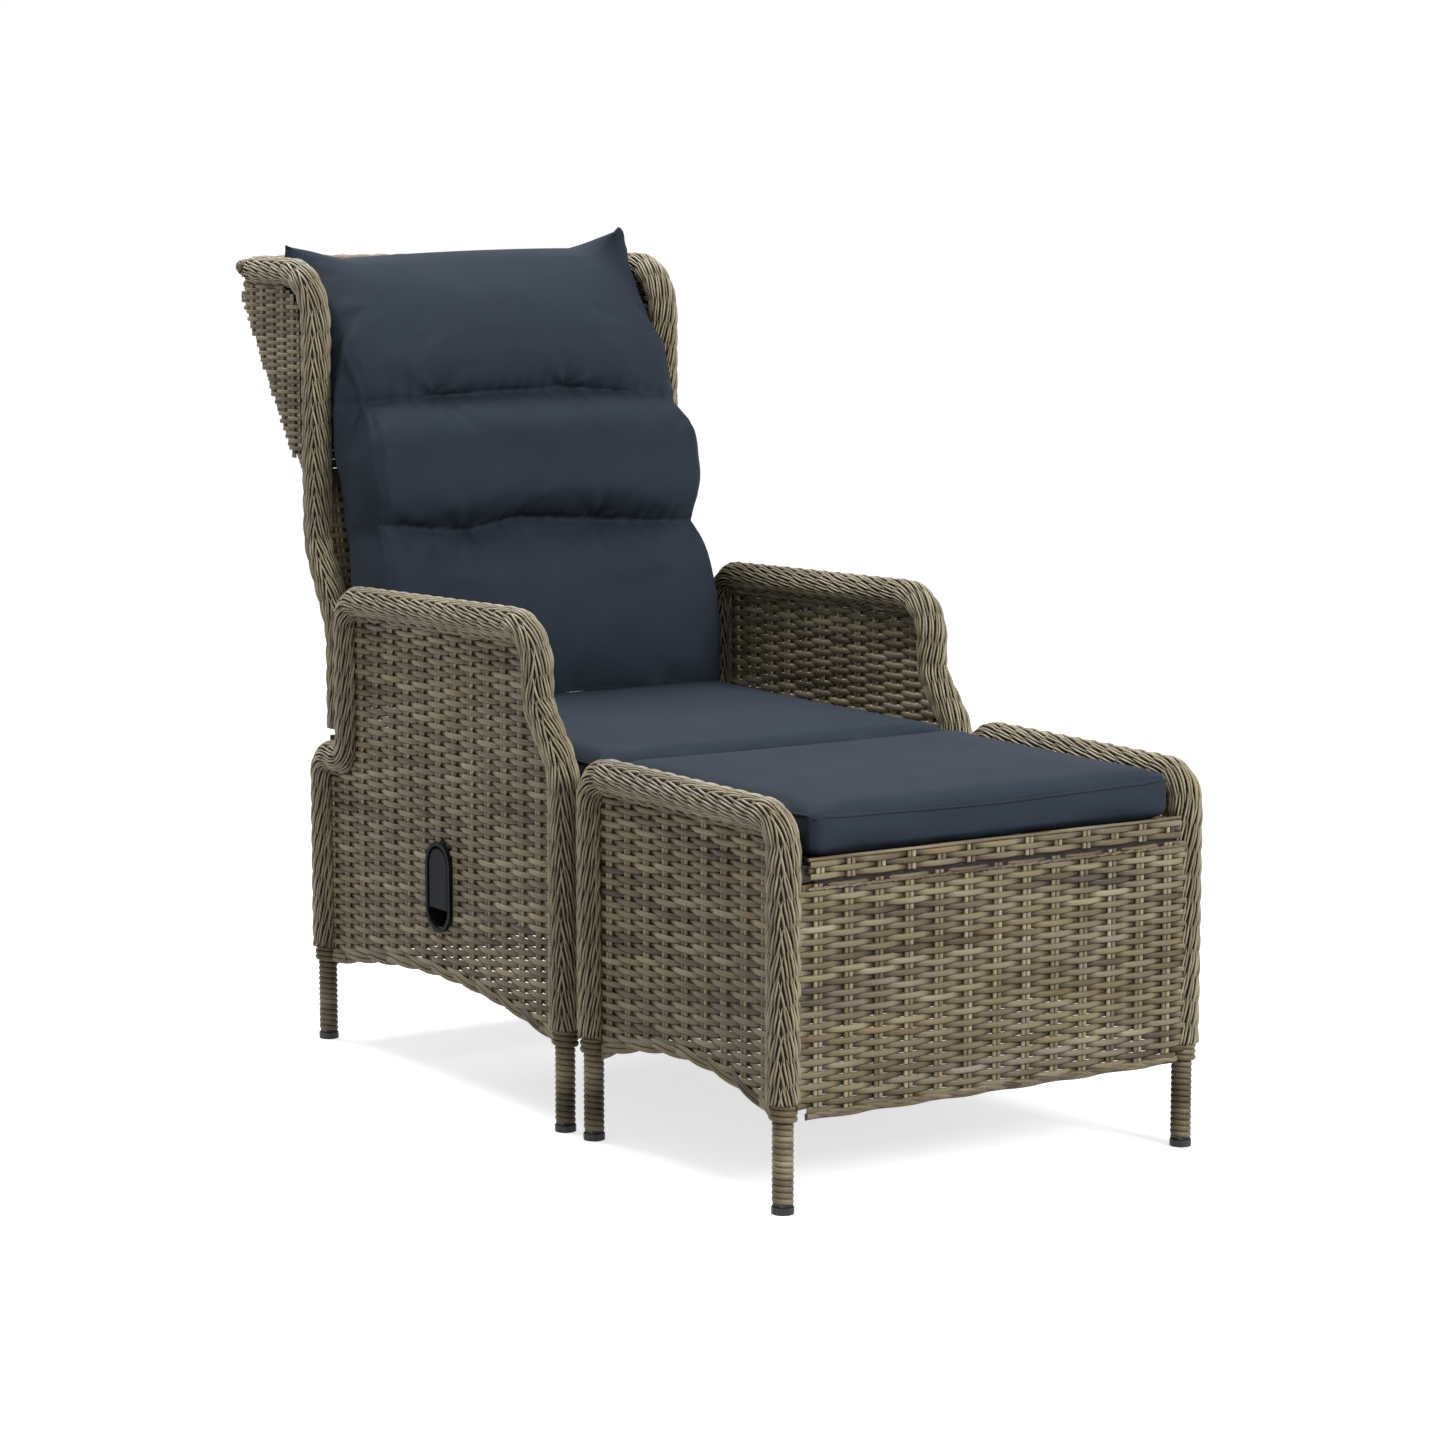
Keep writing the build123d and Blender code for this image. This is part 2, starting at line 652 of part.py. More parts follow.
with BuildPart() as back_top_roll:
    with BuildSketch(Plane.YZ.offset(-back_frame_x - roll_radius)):
        with Locations((back_top_y, back_top_z)):
            RegularPolygon(roll_radius, roll_sides)
            Rectangle(tube_bore, tube_bore, mode=Mode.SUBTRACT)
    extrude(amount=2 * (back_frame_x + roll_radius))
    for hand, side in sides:
        with Locations((side * back_frame_x, back_top_y - roll_radius / 2 - cut_over / 2, back_top_z)):
            Box(tube_bore, roll_radius + cut_over, tube_bore, mode=Mode.SUBTRACT)
        with BuildSketch(lean_plane(side * back_frame_x, lean_length)):
            Rectangle(tube_bore, tube_bore)
        extrude(amount=-roll_radius - cut_over, mode=Mode.SUBTRACT)
finish(back_top_roll, "back_top_roll")

# Wings: woven triangles between the upright roll and the leaning edge
wing_lines = [
    (wing_y, lean_foot_z - roll_reach / lean_sin),
    (wing_y, back_top_z),
    (back_top_y + roll_reach / lean_cos, back_top_z),
]

for hand, side in sides:
    x = side * back_frame_x
    with BuildPart() as wing_panel:
        with BuildSketch(Plane.YZ.offset(x)):
            Polygon(*bent(wing_lines, [wing_bend]), align=None)
            offset(amount=-roll_reach, kind=Kind.INTERSECTION)
        extrude(amount=panel_thickness / 2, both=True)
        with BuildSketch(lean_plane(x, edge_wrap_start)):
            Rectangle(edge_wrap, edge_wrap)
        extrude(amount=edge_wrap_end - edge_wrap_start)
        with BuildSketch(lean_plane(x, 0)):
            Rectangle(tube_bore, tube_bore)
        extrude(amount=lean_length, mode=Mode.SUBTRACT)
    finish(wing_panel, f"wing_panel_{hand}")

# Woven back in two panels, below and above the bend
bend_clear = (tube + panel_thickness) / 2
panel_half = back_frame_x - roll_reach
panel_upper_half = back_frame_x - edge_wrap / 2 - fit_gap

with BuildPart() as back_panel_upper:
    with BuildSketch(lean_plane(0, bend_clear)):
        Rectangle(2 * panel_half, panel_thickness)
    extrude(amount=edge_wrap_start - bend_clear)
    with BuildSketch(lean_plane(0, edge_wrap_start)):
        Rectangle(2 * panel_upper_half, panel_thickness)
    extrude(amount=lean_length - edge_wrap_start - roll_reach - fit_gap)
finish(back_panel_upper, "back_panel_upper")

with BuildPart() as back_panel_lower:
    lower_start_y = hinge_y + bend_clear * lower_sin
    lower_start_z = lower_cross_z + bend_clear * lower_cos
    lower_start = Plane((0, lower_start_y, lower_start_z), x_dir=(1, 0, 0), z_dir=(0, lower_sin, lower_cos))
    with BuildSketch(lower_start):
        Rectangle(2 * panel_half, panel_thickness)
    extrude(amount=lower_length - 2 * bend_clear)
finish(back_panel_lower, "back_panel_lower")

# Back cushion: it clears the corners of the cross tubes and has two channels in front
cushion_set_off = tube / math.sqrt(2) + fit_gap


def back_line_y(z):
    """Where the rear of the back cushion lies at height z."""
    lower_y = hinge_y + (z - lower_cross_z) * lower_sin / lower_cos - cushion_set_off / lower_cos
    upper_y = wing_y + (z - lean_foot_z) * lean_sin / lean_cos - cushion_set_off / lean_cos
    return max(lower_y, upper_y)


cushion_bend_z = lean_foot_z + (cushion_set_off / lean_cos - cushion_set_off / lower_cos) / (
    lean_sin / lean_cos - lower_sin / lower_cos
)
cushion_corner_z = back_cushion_top_z - back_cushion_drop
cushion_height = back_cushion_top_z - back_cushion_foot_z

with BuildPart() as back_cushion:
    profiles = []
    for across, fullness in back_section_shares:
        front = []
        for height_share, thickness_share in back_channel_shares:
            z = back_cushion_foot_z + height_share * cushion_height
            thickness = back_cushion_thickness * thickness_share * fullness
            front.append((back_line_y(z) - thickness, z))
        rear_foot = (back_line_y(back_cushion_foot_z), back_cushion_foot_z)
        rear_bend = (back_line_y(cushion_bend_z), cushion_bend_z)
        rear_corner = (back_line_y(cushion_corner_z), cushion_corner_z)
        rear_top = (rear_corner[0] - back_cushion_slope, back_cushion_top_z)
        with BuildSketch(Plane.YZ.offset(across * back_cushion_half)) as profile:
            with BuildLine():
                ThreePointArc(*front[0:3])
                ThreePointArc(*front[2:5])
                ThreePointArc(*front[4:7])
                Polyline(front[-1], rear_top, rear_corner, rear_bend, rear_foot, front[0])
            make_face()
        profiles.append(profile.sketch)
    loft(profiles, ruled=True)
finish(back_cushion, "back_cushion")

# Hinge: plates that rise from the seat rails, and bolts through them into the back
plate_thickness = 5.0
plate_radius = 14.0
plate_foot_reach = 50.0       # of the plate's foot in front of the hinge
bolt_head_radius = 8.5
bolt_head_height = 7.0
plate_outer_x = chair_rail_x - tube / 2
plate_inner_x = plate_outer_x - plate_thickness

with BuildPart() as hinge_plates:
    for hand, side in sides:
        with BuildSketch(Plane.YZ.offset(side * plate_outer_x)):
            with Locations((hinge_y, hinge_z)):
                Circle(plate_radius)
            with Locations((hinge_y - plate_foot_reach, seat_rail_z)):
                Rectangle(2 * plate_radius, tube)
            make_hull()
            with Locations((hinge_y, hinge_z)):
                Circle(bolt_hole_radius, mode=Mode.SUBTRACT)
        extrude(amount=-side * plate_thickness)
finish(hinge_plates, "hinge_plates")

with BuildPart() as hinge_bolts:
    for hand, side in sides:
        with BuildSketch(Plane.YZ.offset(side * plate_inner_x)):
            with Locations((hinge_y, hinge_z)):
                Circle(bolt_radius)
        extrude(amount=side * (back_outer_x - plate_inner_x))
        with BuildSketch(Plane.YZ.offset(side * plate_inner_x)):
            with Locations((hinge_y, hinge_z)):
                RegularPolygon(bolt_head_radius, 6)
        extrude(amount=-side * bolt_head_height)
finish(hinge_bolts, "hinge_bolts")

# Recline lever below the hinge, and the pin that the gas spring's rear eye hangs on
lever_swing = math.radians(lever_lean)
lever_pin_y = hinge_y - lever_length * math.sin(lever_swing)
lever_pin_z = hinge_z - lever_length * math.cos(lever_swing)
lever_half = lever_plate_x + lever_plate_thickness
lever_head_z = lower_cross_z - tube / 2 - lever_plate_thickness / 2

with BuildPart() as recline_lever:
    for hand, side in sides:
        with BuildSketch(Plane.YZ.offset(side * lever_plate_x)):
            with Locations((lever_pin_y, lever_pin_z)):
                Circle(lever_eye_radius)
            with Locations((hinge_y, lever_head_z)):
                Rectangle(lever_head_width, lever_plate_thickness)
            make_hull()
            with Locations((lever_pin_y, lever_pin_z)):
                Circle(pin_radius, mode=Mode.SUBTRACT)
        extrude(amount=side * lever_plate_thickness)
finish(recline_lever, "recline_lever")

with BuildPart() as recline_pin:
    cross_pin(lever_pin_y, lever_pin_z, pin_radius, lever_half + pin_head)
finish(recline_pin, "recline_pin")

# Gas spring, its rod to the front: it shortens as the back reclines
spring_run = lever_pin_y - spring_front_y
spring_rise = lever_pin_z - spring_front_z
spring_length = math.hypot(spring_run, spring_rise)
spring_sin = spring_rise / spring_length
spring_cos = spring_run / spring_length
rod_eye_half = bracket_plate_x - fit_gap
rear_eye_half = lever_plate_x - 2 * fit_gap


def spring_plane(along):
    """The plane square to the gas spring, this far from its front pin."""
    origin = (0, spring_front_y + along * spring_cos, spring_front_z + along * spring_sin)
    return Plane(origin=origin, x_dir=(1, 0, 0), z_dir=(0, spring_cos, spring_sin))


with BuildPart() as gas_spring_rod:
    cross_pin(spring_front_y, spring_front_z, rod_eye_radius, rod_eye_half)
    with BuildSketch(spring_plane(0)):
        Circle(release_head_radius)
    extrude(amount=rod_eye_radius + release_head_length)
    with BuildSketch(spring_plane(rod_eye_radius)):
        Circle(rod_radius)
    extrude(amount=rod_length)
    cross_pin(spring_front_y, spring_front_z, pin_radius + turn_gap, bracket_half, Mode.SUBTRACT)
finish(gas_spring_rod, "gas_spring_rod")

with BuildPart() as gas_spring_cylinder:
    with BuildSketch(spring_plane(cylinder_start)):
        Circle(cylinder_radius)
    extrude(amount=spring_length - neck_length - cylinder_start)
    with BuildSketch(spring_plane(spring_length)):
        Circle(neck_radius)
    extrude(amount=-neck_length)
    cross_pin(lever_pin_y, lever_pin_z, eye_radius, rear_eye_half)
    cross_pin(lever_pin_y, lever_pin_z, pin_radius + eye_ease, lever_half, Mode.SUBTRACT)
    with BuildSketch(spring_plane(cylinder_start)):
        Circle(rod_radius + turn_gap)
    extrude(amount=bore_depth, mode=Mode.SUBTRACT)
finish(gas_spring_cylinder, "gas_spring_cylinder")

# Bracket under a slat that holds the gas spring's front pin
bracket_top_z = rail_top_z - slat_thickness
bracket_head_z = bracket_top_z - bracket_plate_thickness / 2

with BuildPart() as spring_bracket:
    for hand, side in sides:
        with BuildSketch(Plane.YZ.offset(side * bracket_plate_x)):
            with Locations((spring_front_y, spring_front_z)):
                Circle(bracket_radius)
            with Locations((spring_front_y, bracket_head_z)):
                Rectangle(bracket_head, bracket_plate_thickness)
            make_hull()
            with Locations((spring_front_y, spring_front_z)):
                Circle(pin_radius, mode=Mode.SUBTRACT)
        extrude(amount=side * bracket_plate_thickness)
    with Locations((0, spring_front_y, bracket_head_z)):
        Box(2 * bracket_half, bracket_head, bracket_plate_thickness)
finish(spring_bracket, "spring_bracket")

with BuildPart() as spring_pin:
    cross_pin(spring_front_y, spring_front_z, pin_radius, bracket_half + pin_head)
finish(spring_pin, "spring_pin")

# Release handle: an oval cup in the right side, with a paddle that pulls outwards
housing_face_x = -chair_frame_x - panel_thickness / 2 - fit_gap
cup_inner_x = housing_face_x + housing_depth
cup_depth = housing_flange + housing_depth - housing_wall

with BuildPart() as lever_housing:
    oval(housing_face_x, housing_width, housing_height, -housing_flange)
    oval(housing_face_x, cup_outer_width, cup_outer_height, housing_depth)
    oval(housing_face_x - housing_flange, cup_width, cup_height, cup_depth, Mode.SUBTRACT)
    handle_pin(handle_pin_radius, handle_pin_half, Mode.SUBTRACT)
finish(lever_housing, "lever_housing")

with BuildPart() as lever_pin:
    handle_pin(handle_pin_radius, handle_pin_half)
finish(lever_pin, "lever_pin")

with BuildPart() as release_lever:
    paddle_x = housing_face_x - paddle_sink
    oval(paddle_x, cup_width - 2 * paddle_inset, cup_height - 2 * paddle_inset, paddle_thickness)
    with Locations((paddle_x, handle_y, handle_z - cup_height / 2)):
        Box(2 * cut_over + paddle_thickness, cup_width, 2 * paddle_open_share * cup_height, mode=Mode.SUBTRACT)
    handle_pin(knuckle_radius, knuckle_half)
    with Locations((crank_length / 2 - chair_frame_x, handle_y, handle_z + handle_pin_rise)):
        Box(crank_length, crank_thickness, crank_thickness)
    handle_pin(handle_pin_radius + turn_gap, cup_width / 2, Mode.SUBTRACT)
finish(release_lever, "release_lever")

# Release cable from the back of the cup to the bracket of the gas spring
cable_start = Vector(cup_inner_x, handle_y, handle_z + handle_pin_rise)
cable_end = Vector(-bracket_half, spring_front_y, spring_front_z + bracket_radius)
cable_middle = (cable_start + cable_end) / 2 - Vector(0, 0, cable_sag)

with BuildPart() as release_cable:
    with BuildLine() as cable_line:
        Spline(cable_start, cable_middle, cable_end, tangents=((1, 0, 0), (1, 0, 0)))
    with BuildSketch(Plane(origin=cable_start, x_dir=(0, 1, 0), z_dir=(1, 0, 0))):
        RegularPolygon(cable_radius, cable_sides)
    sweep(path=cable_line.line)
finish(release_cable, "release_cable")
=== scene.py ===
import math

import bmesh
import bpy
import numpy as np
from mathutils import Matrix, Vector
from mathutils.bvhtree import BVHTree


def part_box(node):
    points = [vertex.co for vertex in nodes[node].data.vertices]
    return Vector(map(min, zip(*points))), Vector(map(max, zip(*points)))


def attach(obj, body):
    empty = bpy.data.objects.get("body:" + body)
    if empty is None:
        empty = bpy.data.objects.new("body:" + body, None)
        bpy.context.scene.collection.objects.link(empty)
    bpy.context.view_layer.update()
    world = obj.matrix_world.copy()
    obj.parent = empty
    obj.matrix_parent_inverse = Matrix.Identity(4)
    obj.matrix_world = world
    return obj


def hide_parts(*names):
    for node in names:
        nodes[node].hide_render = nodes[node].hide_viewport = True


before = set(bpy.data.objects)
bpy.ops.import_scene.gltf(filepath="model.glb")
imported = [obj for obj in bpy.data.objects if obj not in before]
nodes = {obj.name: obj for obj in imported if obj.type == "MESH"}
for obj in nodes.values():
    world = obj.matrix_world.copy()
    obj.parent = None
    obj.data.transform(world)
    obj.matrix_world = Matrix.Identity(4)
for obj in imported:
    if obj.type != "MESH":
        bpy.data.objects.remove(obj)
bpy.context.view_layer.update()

# The photographer's camera.
# It stands in front of the chair, off its right side, a little higher than the back, and looks
# slightly down through a long lens.


def stand(name, data):
    """An object in the scene that holds a camera, lamp, curve or mesh."""
    holder = bpy.data.objects.new(name, data)
    bpy.context.scene.collection.objects.link(holder)
    return holder


lens = bpy.data.cameras.new("camera")
lens.lens = 100
lens.sensor_width = 36
camera = stand("camera", lens)
camera.location = (-2.619, -4.1227, 1.1295)
camera.rotation_euler = (math.radians(81.97), 0, math.radians(-33))
bpy.context.scene.camera = camera

# Release cable under the seat.
# A steel wire in a black rubber sheath. It leaves the back of the handle's cup and hangs in a
# shallow bow to the head of the gas spring.
cable_radius = 0.0025
cable_start = (-0.2535, 0.097, 0.284)
cable_points = [cable_start, (-0.13575, 0.1091, 0.2595), (-0.018, 0.121216, 0.263)]


class Wire:
    """A value that runs through a node tree. A sum written with it becomes a node."""

    def __init__(self, net, node, socket):
        self.net, self.node, self.socket = net, node, socket

    def __getitem__(self, name):
        return Wire(self.net, self.node, self.node.outputs[name])

    def to(self, socket):
        """Link the value to a socket."""
        self.net.tree.links.new(self.socket, socket)

    def do(self, operation, *others):
        """One step on numbers."""
        return self.net.sh("Math", self, *others, operation=operation)

    def vector(self, operation, *others, **named):
        """One step on vectors."""
        return self.net.sh("VectorMath", self, *others, operation=operation, **named)

    def times(self, share):
        return self.vector("SCALE", Scale=share)

    def __rsub__(self, other):
        return self.net.sh("Math", other, self, operation="SUBTRACT")

    def __add__(self, other):
        return self.do("ADD", other)

    def __sub__(self, other):
        return self.do("SUBTRACT", other)

    def __mul__(self, other):
        return self.do("MULTIPLY", other)

    def __truediv__(self, other):
        return self.do("DIVIDE", other)

    def __pow__(self, other):
        return self.do("POWER", other)

    def __lt__(self, other):
        return self.net.fn("Compare", self, other, operation="LESS_THAN")

    def __gt__(self, other):
        return self.net.fn("Compare", self, other, operation="GREATER_THAN")

    def __and__(self, other):
        return self.net.fn("BooleanMath", self, other, operation="AND")

    def __or__(self, other):
        return self.net.fn("BooleanMath", self, other, operation="OR")

    def __invert__(self):
        return self.net.fn("BooleanMath", self, operation="NOT")

    __radd__, __rmul__ = __add__, __mul__


class Net:
    """A node tree that grows step by step."""

    def __init__(self, tree):
        self.tree = tree

    def add(self, kind, *values, **named):
        """Add a node. Values go to its sockets in turn. Capitalised names are sockets, the rest settings."""
        node = self.tree.nodes.new(kind)
        sockets = dict(enumerate(values))
        for name, value in named.items():
            if name[0].isupper():
                sockets[name.replace("_", " ")] = value
            else:
                setattr(node, name, value)
        for key, value in sockets.items():
            for part in value if isinstance(value, list) else [value]:
                if isinstance(part, Wire):
                    part.to(node.inputs[key])
                elif part is not None:
                    node.inputs[key].default_value = part
        return Wire(self, node, node.outputs[0])

    def sh(self, kind, *values, **named):
        return self.add("ShaderNode" + kind, *values, **named)

    def geo(self, kind, *values, **named):
        return self.add("GeometryNode" + kind, *values, **named)

    def fn(self, kind, *values, **named):
        return self.add("FunctionNode" + kind, *values, **named)

    def give(self, geometry):
        """Hand out the geometry as the tree's result."""
        geometry.to(self.tree.nodes.new("NodeGroupOutput").inputs["Geometry"])
        return self.tree


def noise(net, place, scale, detail):
    """A soft cloud of values about a half."""
    return net.sh("TexNoise", Vector=place, Scale=scale, Detail=detail)


def color_ramp(net, value, stops):
    """The colour at a place between stops."""
    color = net.sh("ValToRGB", value)
    elements = color.node.color_ramp.elements
    while len(elements) < len(stops):
        elements.new(0.5)
    for element, (position, shade) in zip(elements, stops):
        element.position = position
        element.color = (*shade, 1)
    return color


def shades(color, spread):
    """A darker and a lighter shade of a colour."""
    return [[min(c * share, 1) for c in color] for share in (1 - spread, 1 + spread)]


def plain_finish(name, color, roughness, **levels):
    """A material of one colour, with the sockets of its shader left free for a pattern."""
    material = bpy.data.materials.new(name)
    material.use_nodes = True
    shader = material.node_tree.nodes["Principled BSDF"].inputs
    shader["Base Color"].default_value = (*color, 1)
    for socket, value in {"Roughness": roughness, **levels}.items():
        shader[socket.replace("_", " ")].default_value = value
    return material, shader


def grained(name, color, roughness, scale, spread, height, rough=0.06, **levels):
    """A finish with fine mottling of colour, gloss and relief."""
    material, shader = plain_finish(name, color, roughness, **levels)
    net = Net(material.node_tree)
    place = net.sh("TexCoord")["Object"]
    fine, coarse = noise(net, place, scale, 4.0), noise(net, place, scale / 14, 3.0)
    color_ramp(net, coarse, list(zip((0.3, 0.7), shades(color, spread)))).to(shader["Base Color"])
    gloss = net.sh("MapRange", Value=coarse, To_Min=roughness - rough, To_Max=roughness + rough)
    gloss.to(shader["Roughness"])
    net.sh("Bump", Height=fine, Strength=0.5, Distance=height).to(shader["Normal"])
    return material


def tube(name, kind, points, radius, resolution):
    """A round tube along a line of points."""
    line = bpy.data.curves.new(name, "CURVE")
    line.dimensions = "3D"
    line.bevel_depth = radius
    line.bevel_resolution = resolution
    run = line.splines.new(kind)
    run.points.add(len(points) - 1)
    for point, place in zip(run.points, points):
        point.co = (*place, 1)
    return line, run


def belong(piece, body, node=None):
    """Let a piece ride on a body, in place of a CAD node where one is given."""
    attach(piece, body)
    if node:
        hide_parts(node)


cable_line, run = tube("release_cable_run", "NURBS", cable_points, cable_radius, 3)
cable_line.resolution_u = 10
cable_line.use_fill_caps = True
run.order_u = 3
run.use_endpoint_u = True
cable = stand("release_cable_sheath", cable_line)
cable_line.materials.append(grained("cable_rubber", (0.012, 0.012, 0.012), 0.6, 900, 0.2, 0.0001))
belong(cable, "chair_base", "release_cable")

# Floor and studio light.
# A white sweep under an even sky. A broad lamp in front and a broader one high behind the chair
# give the soft shadow on the floor.


def directly_seen(net):
    """One for a ray from the camera, also by a mirror or through glass, and otherwise zero."""
    rays = net.sh("LightPath")
    seen = rays["Is Camera Ray"].do("MAXIMUM", rays["Is Transmission Ray"])
    return seen.do("MAXIMUM", rays["Is Glossy Ray"])


bpy.context.scene.view_settings.view_transform = "Standard"
world = bpy.data.worlds.new("studio")
bpy.context.scene.world = world
world.use_nodes = True
sky = Net(world.node_tree)
backdrop = world.node_tree.nodes["Background"].inputs
backdrop["Color"].default_value = (1, 1, 1, 1)
sky.sh("MapRange", Value=directly_seen(sky), To_Min=0.46, To_Max=1.0).to(backdrop["Strength"])

for name, place, target, width, energy in (("key_softbox", (0.9, -4.1, 2.4), (0, 0, 0.4), 1.4, 140),
                                           ("top_softbox", (-0.5, 1.9, 3.8), (0, 0, 0.3), 2.2, 150)):
    light = bpy.data.lights.new(name, "AREA")
    light.shape = "DISK"
    light.size = width
    light.energy = energy
    lamp = stand(name, light)
    lamp.location = place
    lamp.rotation_euler = (Vector(target) - Vector(place)).to_track_quat("-Z", "Y").to_euler()

floor_mesh = bpy.data.meshes.new("floor")
reach = 40.0
floor_mesh.from_pydata([(-reach, -reach, 0), (reach, -reach, 0), (reach, reach, 0), (-reach, reach, 0)],
                       [], [(0, 1, 2, 3)])
floor = stand("floor", floor_mesh)
floor_finish, floor_shader = plain_finish("floor_white", (0.2, 0.2, 0.2), 0.9, Specular_IOR_Level=0,
                                          Emission_Color=(1, 1, 1, 1))
floor_net = Net(floor_finish.node_tree)
floor_seen = directly_seen(floor_net)
floor_net.sh("MapRange", Value=floor_seen, To_Min=0.34, To_Max=0.7).to(floor_shader["Base Color"])
floor_net.sh("MapRange", Value=floor_seen, To_Min=0.0, To_Max=0.685).to(floor_shader["Emission Strength"])
floor_mesh.materials.append(floor_finish)

# Steel frame under the wicker.
# Square tube, flat slats and plates, welded and powder coated dark brown. Little of it shows:
# the rails and slats under the seats, the hinge plates and the lever of the back.


def coat(finish, names):
    """Give CAD pieces their finish."""
    for name in names.split():
        nodes[name].data.materials.clear()
        nodes[name].data.materials.append(finish)


coat(grained("brown_powder_coat", (0.045, 0.035, 0.028), 0.5, 1400, 0.12, 0.00015),
     """side_frame_right side_frame_left stool_frame_right stool_frame_left seat_cross_tubes seat_rails
     seat_slats hinge_plates spring_bracket stool_cross_tubes stool_seat_rails stool_slats
     back_side_tube_right back_side_tube_left back_cross_tubes recline_lever""")
coat(grained("zinc_plate", (0.5, 0.5, 0.5), 0.35, 600, 0.12, 0.00005, Metallic=1.0),
     "hinge_bolts spring_pin lever_pin recline_pin")

# Gas spring under the seat.
# A polished rod that slides in a black painted cylinder, with an eye at each end. It holds the
# back until the handle opens its valve.
coat(grained("polished_rod", (0.7, 0.7, 0.7), 0.12, 300, 0.05, 0.00002, rough=0.03, Metallic=1.0),
     "gas_spring_rod")
coat(grained("cylinder_paint", (0.015, 0.015, 0.015), 0.3, 500, 0.2, 0.00005, Coat_Weight=0.3),
     "gas_spring_cylinder")

# Feet and release handle.
# Injection moulded black plastic with a fine spark-eroded grain. The glides plug into the legs,
# and the handle's paddle hangs in an oval cup in the right side.
coat(grained("black_plastic", (0.006, 0.008, 0.01), 0.6, 1600, 0.15, 0.0001, Specular_IOR_Level=0.09),
     "lever_housing release_lever")
coat(grained("glide_plastic", (0.012, 0.012, 0.012), 0.55, 900, 0.25, 0.0001),
     "foot_glides stool_foot_glides")

# Woven cane panels.
# Flat oval plastic cane, extruded in mottled beige, olive, red-brown and grey lilac. Pairs of
# upright stakes stand in the frame, and single weavers pass over one pair and under the next.
row_pitch, stake_pitch, stake_gap = 0.0066, 0.04, 0.0062
strand_width, stake_width, strand_thickness = 0.0075, 0.0063, 0.0026
weave_depth, thin_depth = 0.0026, 0.0014
side_hem, front_hem = 0.142, 0.112
x_axis, y_axis, z_axis = (1, 0, 0), (0, 1, 0), (0, 0, 1)
no_hole, hole_radius = (9, 0, 9), 0.075
hands = (("right", -1), ("left", 1))
side_x, stool_side_x = 0.283, 0.276


def cane_group():
    """The cane's mottled colours, worked out from the tone and the hue of a strand."""
    net = Net(bpy.data.node_groups.new("cane_colours", "ShaderNodeTree"))
    for name, way, kind in (("Tone", "INPUT", "Float"), ("Hue", "INPUT", "Float"),
                            ("Color", "OUTPUT", "Color"), ("Roughness", "OUTPUT", "Float"),
                            ("Height", "OUTPUT", "Float")):
        net.tree.interface.new_socket(name, in_out=way, socket_type="NodeSocket" + kind)
    into = net.add("NodeGroupInput")
    out = net.tree.nodes.new("NodeGroupOutput").inputs
    body = color_ramp(net, into["Tone"], [(0.0, (0.022, 0.014, 0.008)), (0.3, (0.12, 0.095, 0.056)),
                                          (0.62, (0.225, 0.186, 0.116)), (1.0, (0.4, 0.345, 0.235))])
    most = 1.2  # A ramp holds no colour above one, so the tints are kept divided by this.
    stops = [(0.0, (0.92, 0.93, 1.1)), (0.2, (0.98, 0.985, 1.03)), (0.42, (1.0, 1.0, 1.0)),
             (0.64, (1.0, 1.0, 0.95)), (0.86, (0.96, 1.0, 0.86)), (1.0, (1.06, 0.93, 0.84))]
    tint = color_ramp(net, into["Hue"], [(position, [c / most for c in shade]) for position, shade in stops])
    body.vector("MULTIPLY", tint).vector("MULTIPLY", (most, most, most)).to(out["Color"])
    fine = noise(net, net.sh("TexCoord")["Object"], 700.0, 3.0)
    net.sh("MapRange", Value=fine, To_Min=0.36, To_Max=0.52).to(out["Roughness"])
    fine.to(out["Height"])
    return net.tree


cane_colours = cane_group()


def cane_finish(name, tone_shift, shine):
    """Cane whose colour follows the tone and hue kept along each strand."""
    material, shader = plain_finish(name, (0.3, 0.25, 0.16), 0.45, Specular_IOR_Level=shine)
    net = Net(material.node_tree)
    tone = net.sh("Attribute", attribute_name="tone")["Fac"]
    tone = net.sh("Math", tone, tone_shift, operation="ADD", use_clamp=True)
    hue = net.sh("Attribute", attribute_name="hue")["Fac"]
    group = net.sh("Group", node_tree=cane_colours, Tone=tone, Hue=hue)
    group["Color"].to(shader["Base Color"])
    group["Roughness"].to(shader["Roughness"])
    net.sh("Bump", Height=group["Height"], Strength=0.4, Distance=0.0002).to(shader["Normal"])
    return material


cane = cane_finish("woven_cane", 0.0, 0.25)
plait_cane = cane_finish("plaited_cane", 0.3, 0.5)


def new_net(name, floats, **others):
    """A geometry tree with these named inputs, and the node that hands them in."""
    net = Net(bpy.data.node_groups.new(name, "GeometryNodeTree"))
    net.tree.interface.new_socket("Geometry", in_out="OUTPUT", socket_type="NodeSocketGeometry")
    inputs = {"Geometry": "Geometry", **dict.fromkeys(floats.split(", "), "Float"), **others}
    for title, kind in inputs.items():
        net.tree.interface.new_socket(title, in_out="INPUT", socket_type="NodeSocket" + kind)
    return net, net.add("NodeGroupInput")


def keep(net, geometry, name, value):
    """Store a number on every point under a name."""
    return net.geo("StoreNamedAttribute", Geometry=geometry, Name=name, Value=value,
                   data_type="FLOAT", domain="POINT")


def recall(net, name):
    """The number that is kept under a name."""
    return net.geo("InputNamedAttribute", Name=name, data_type="FLOAT")


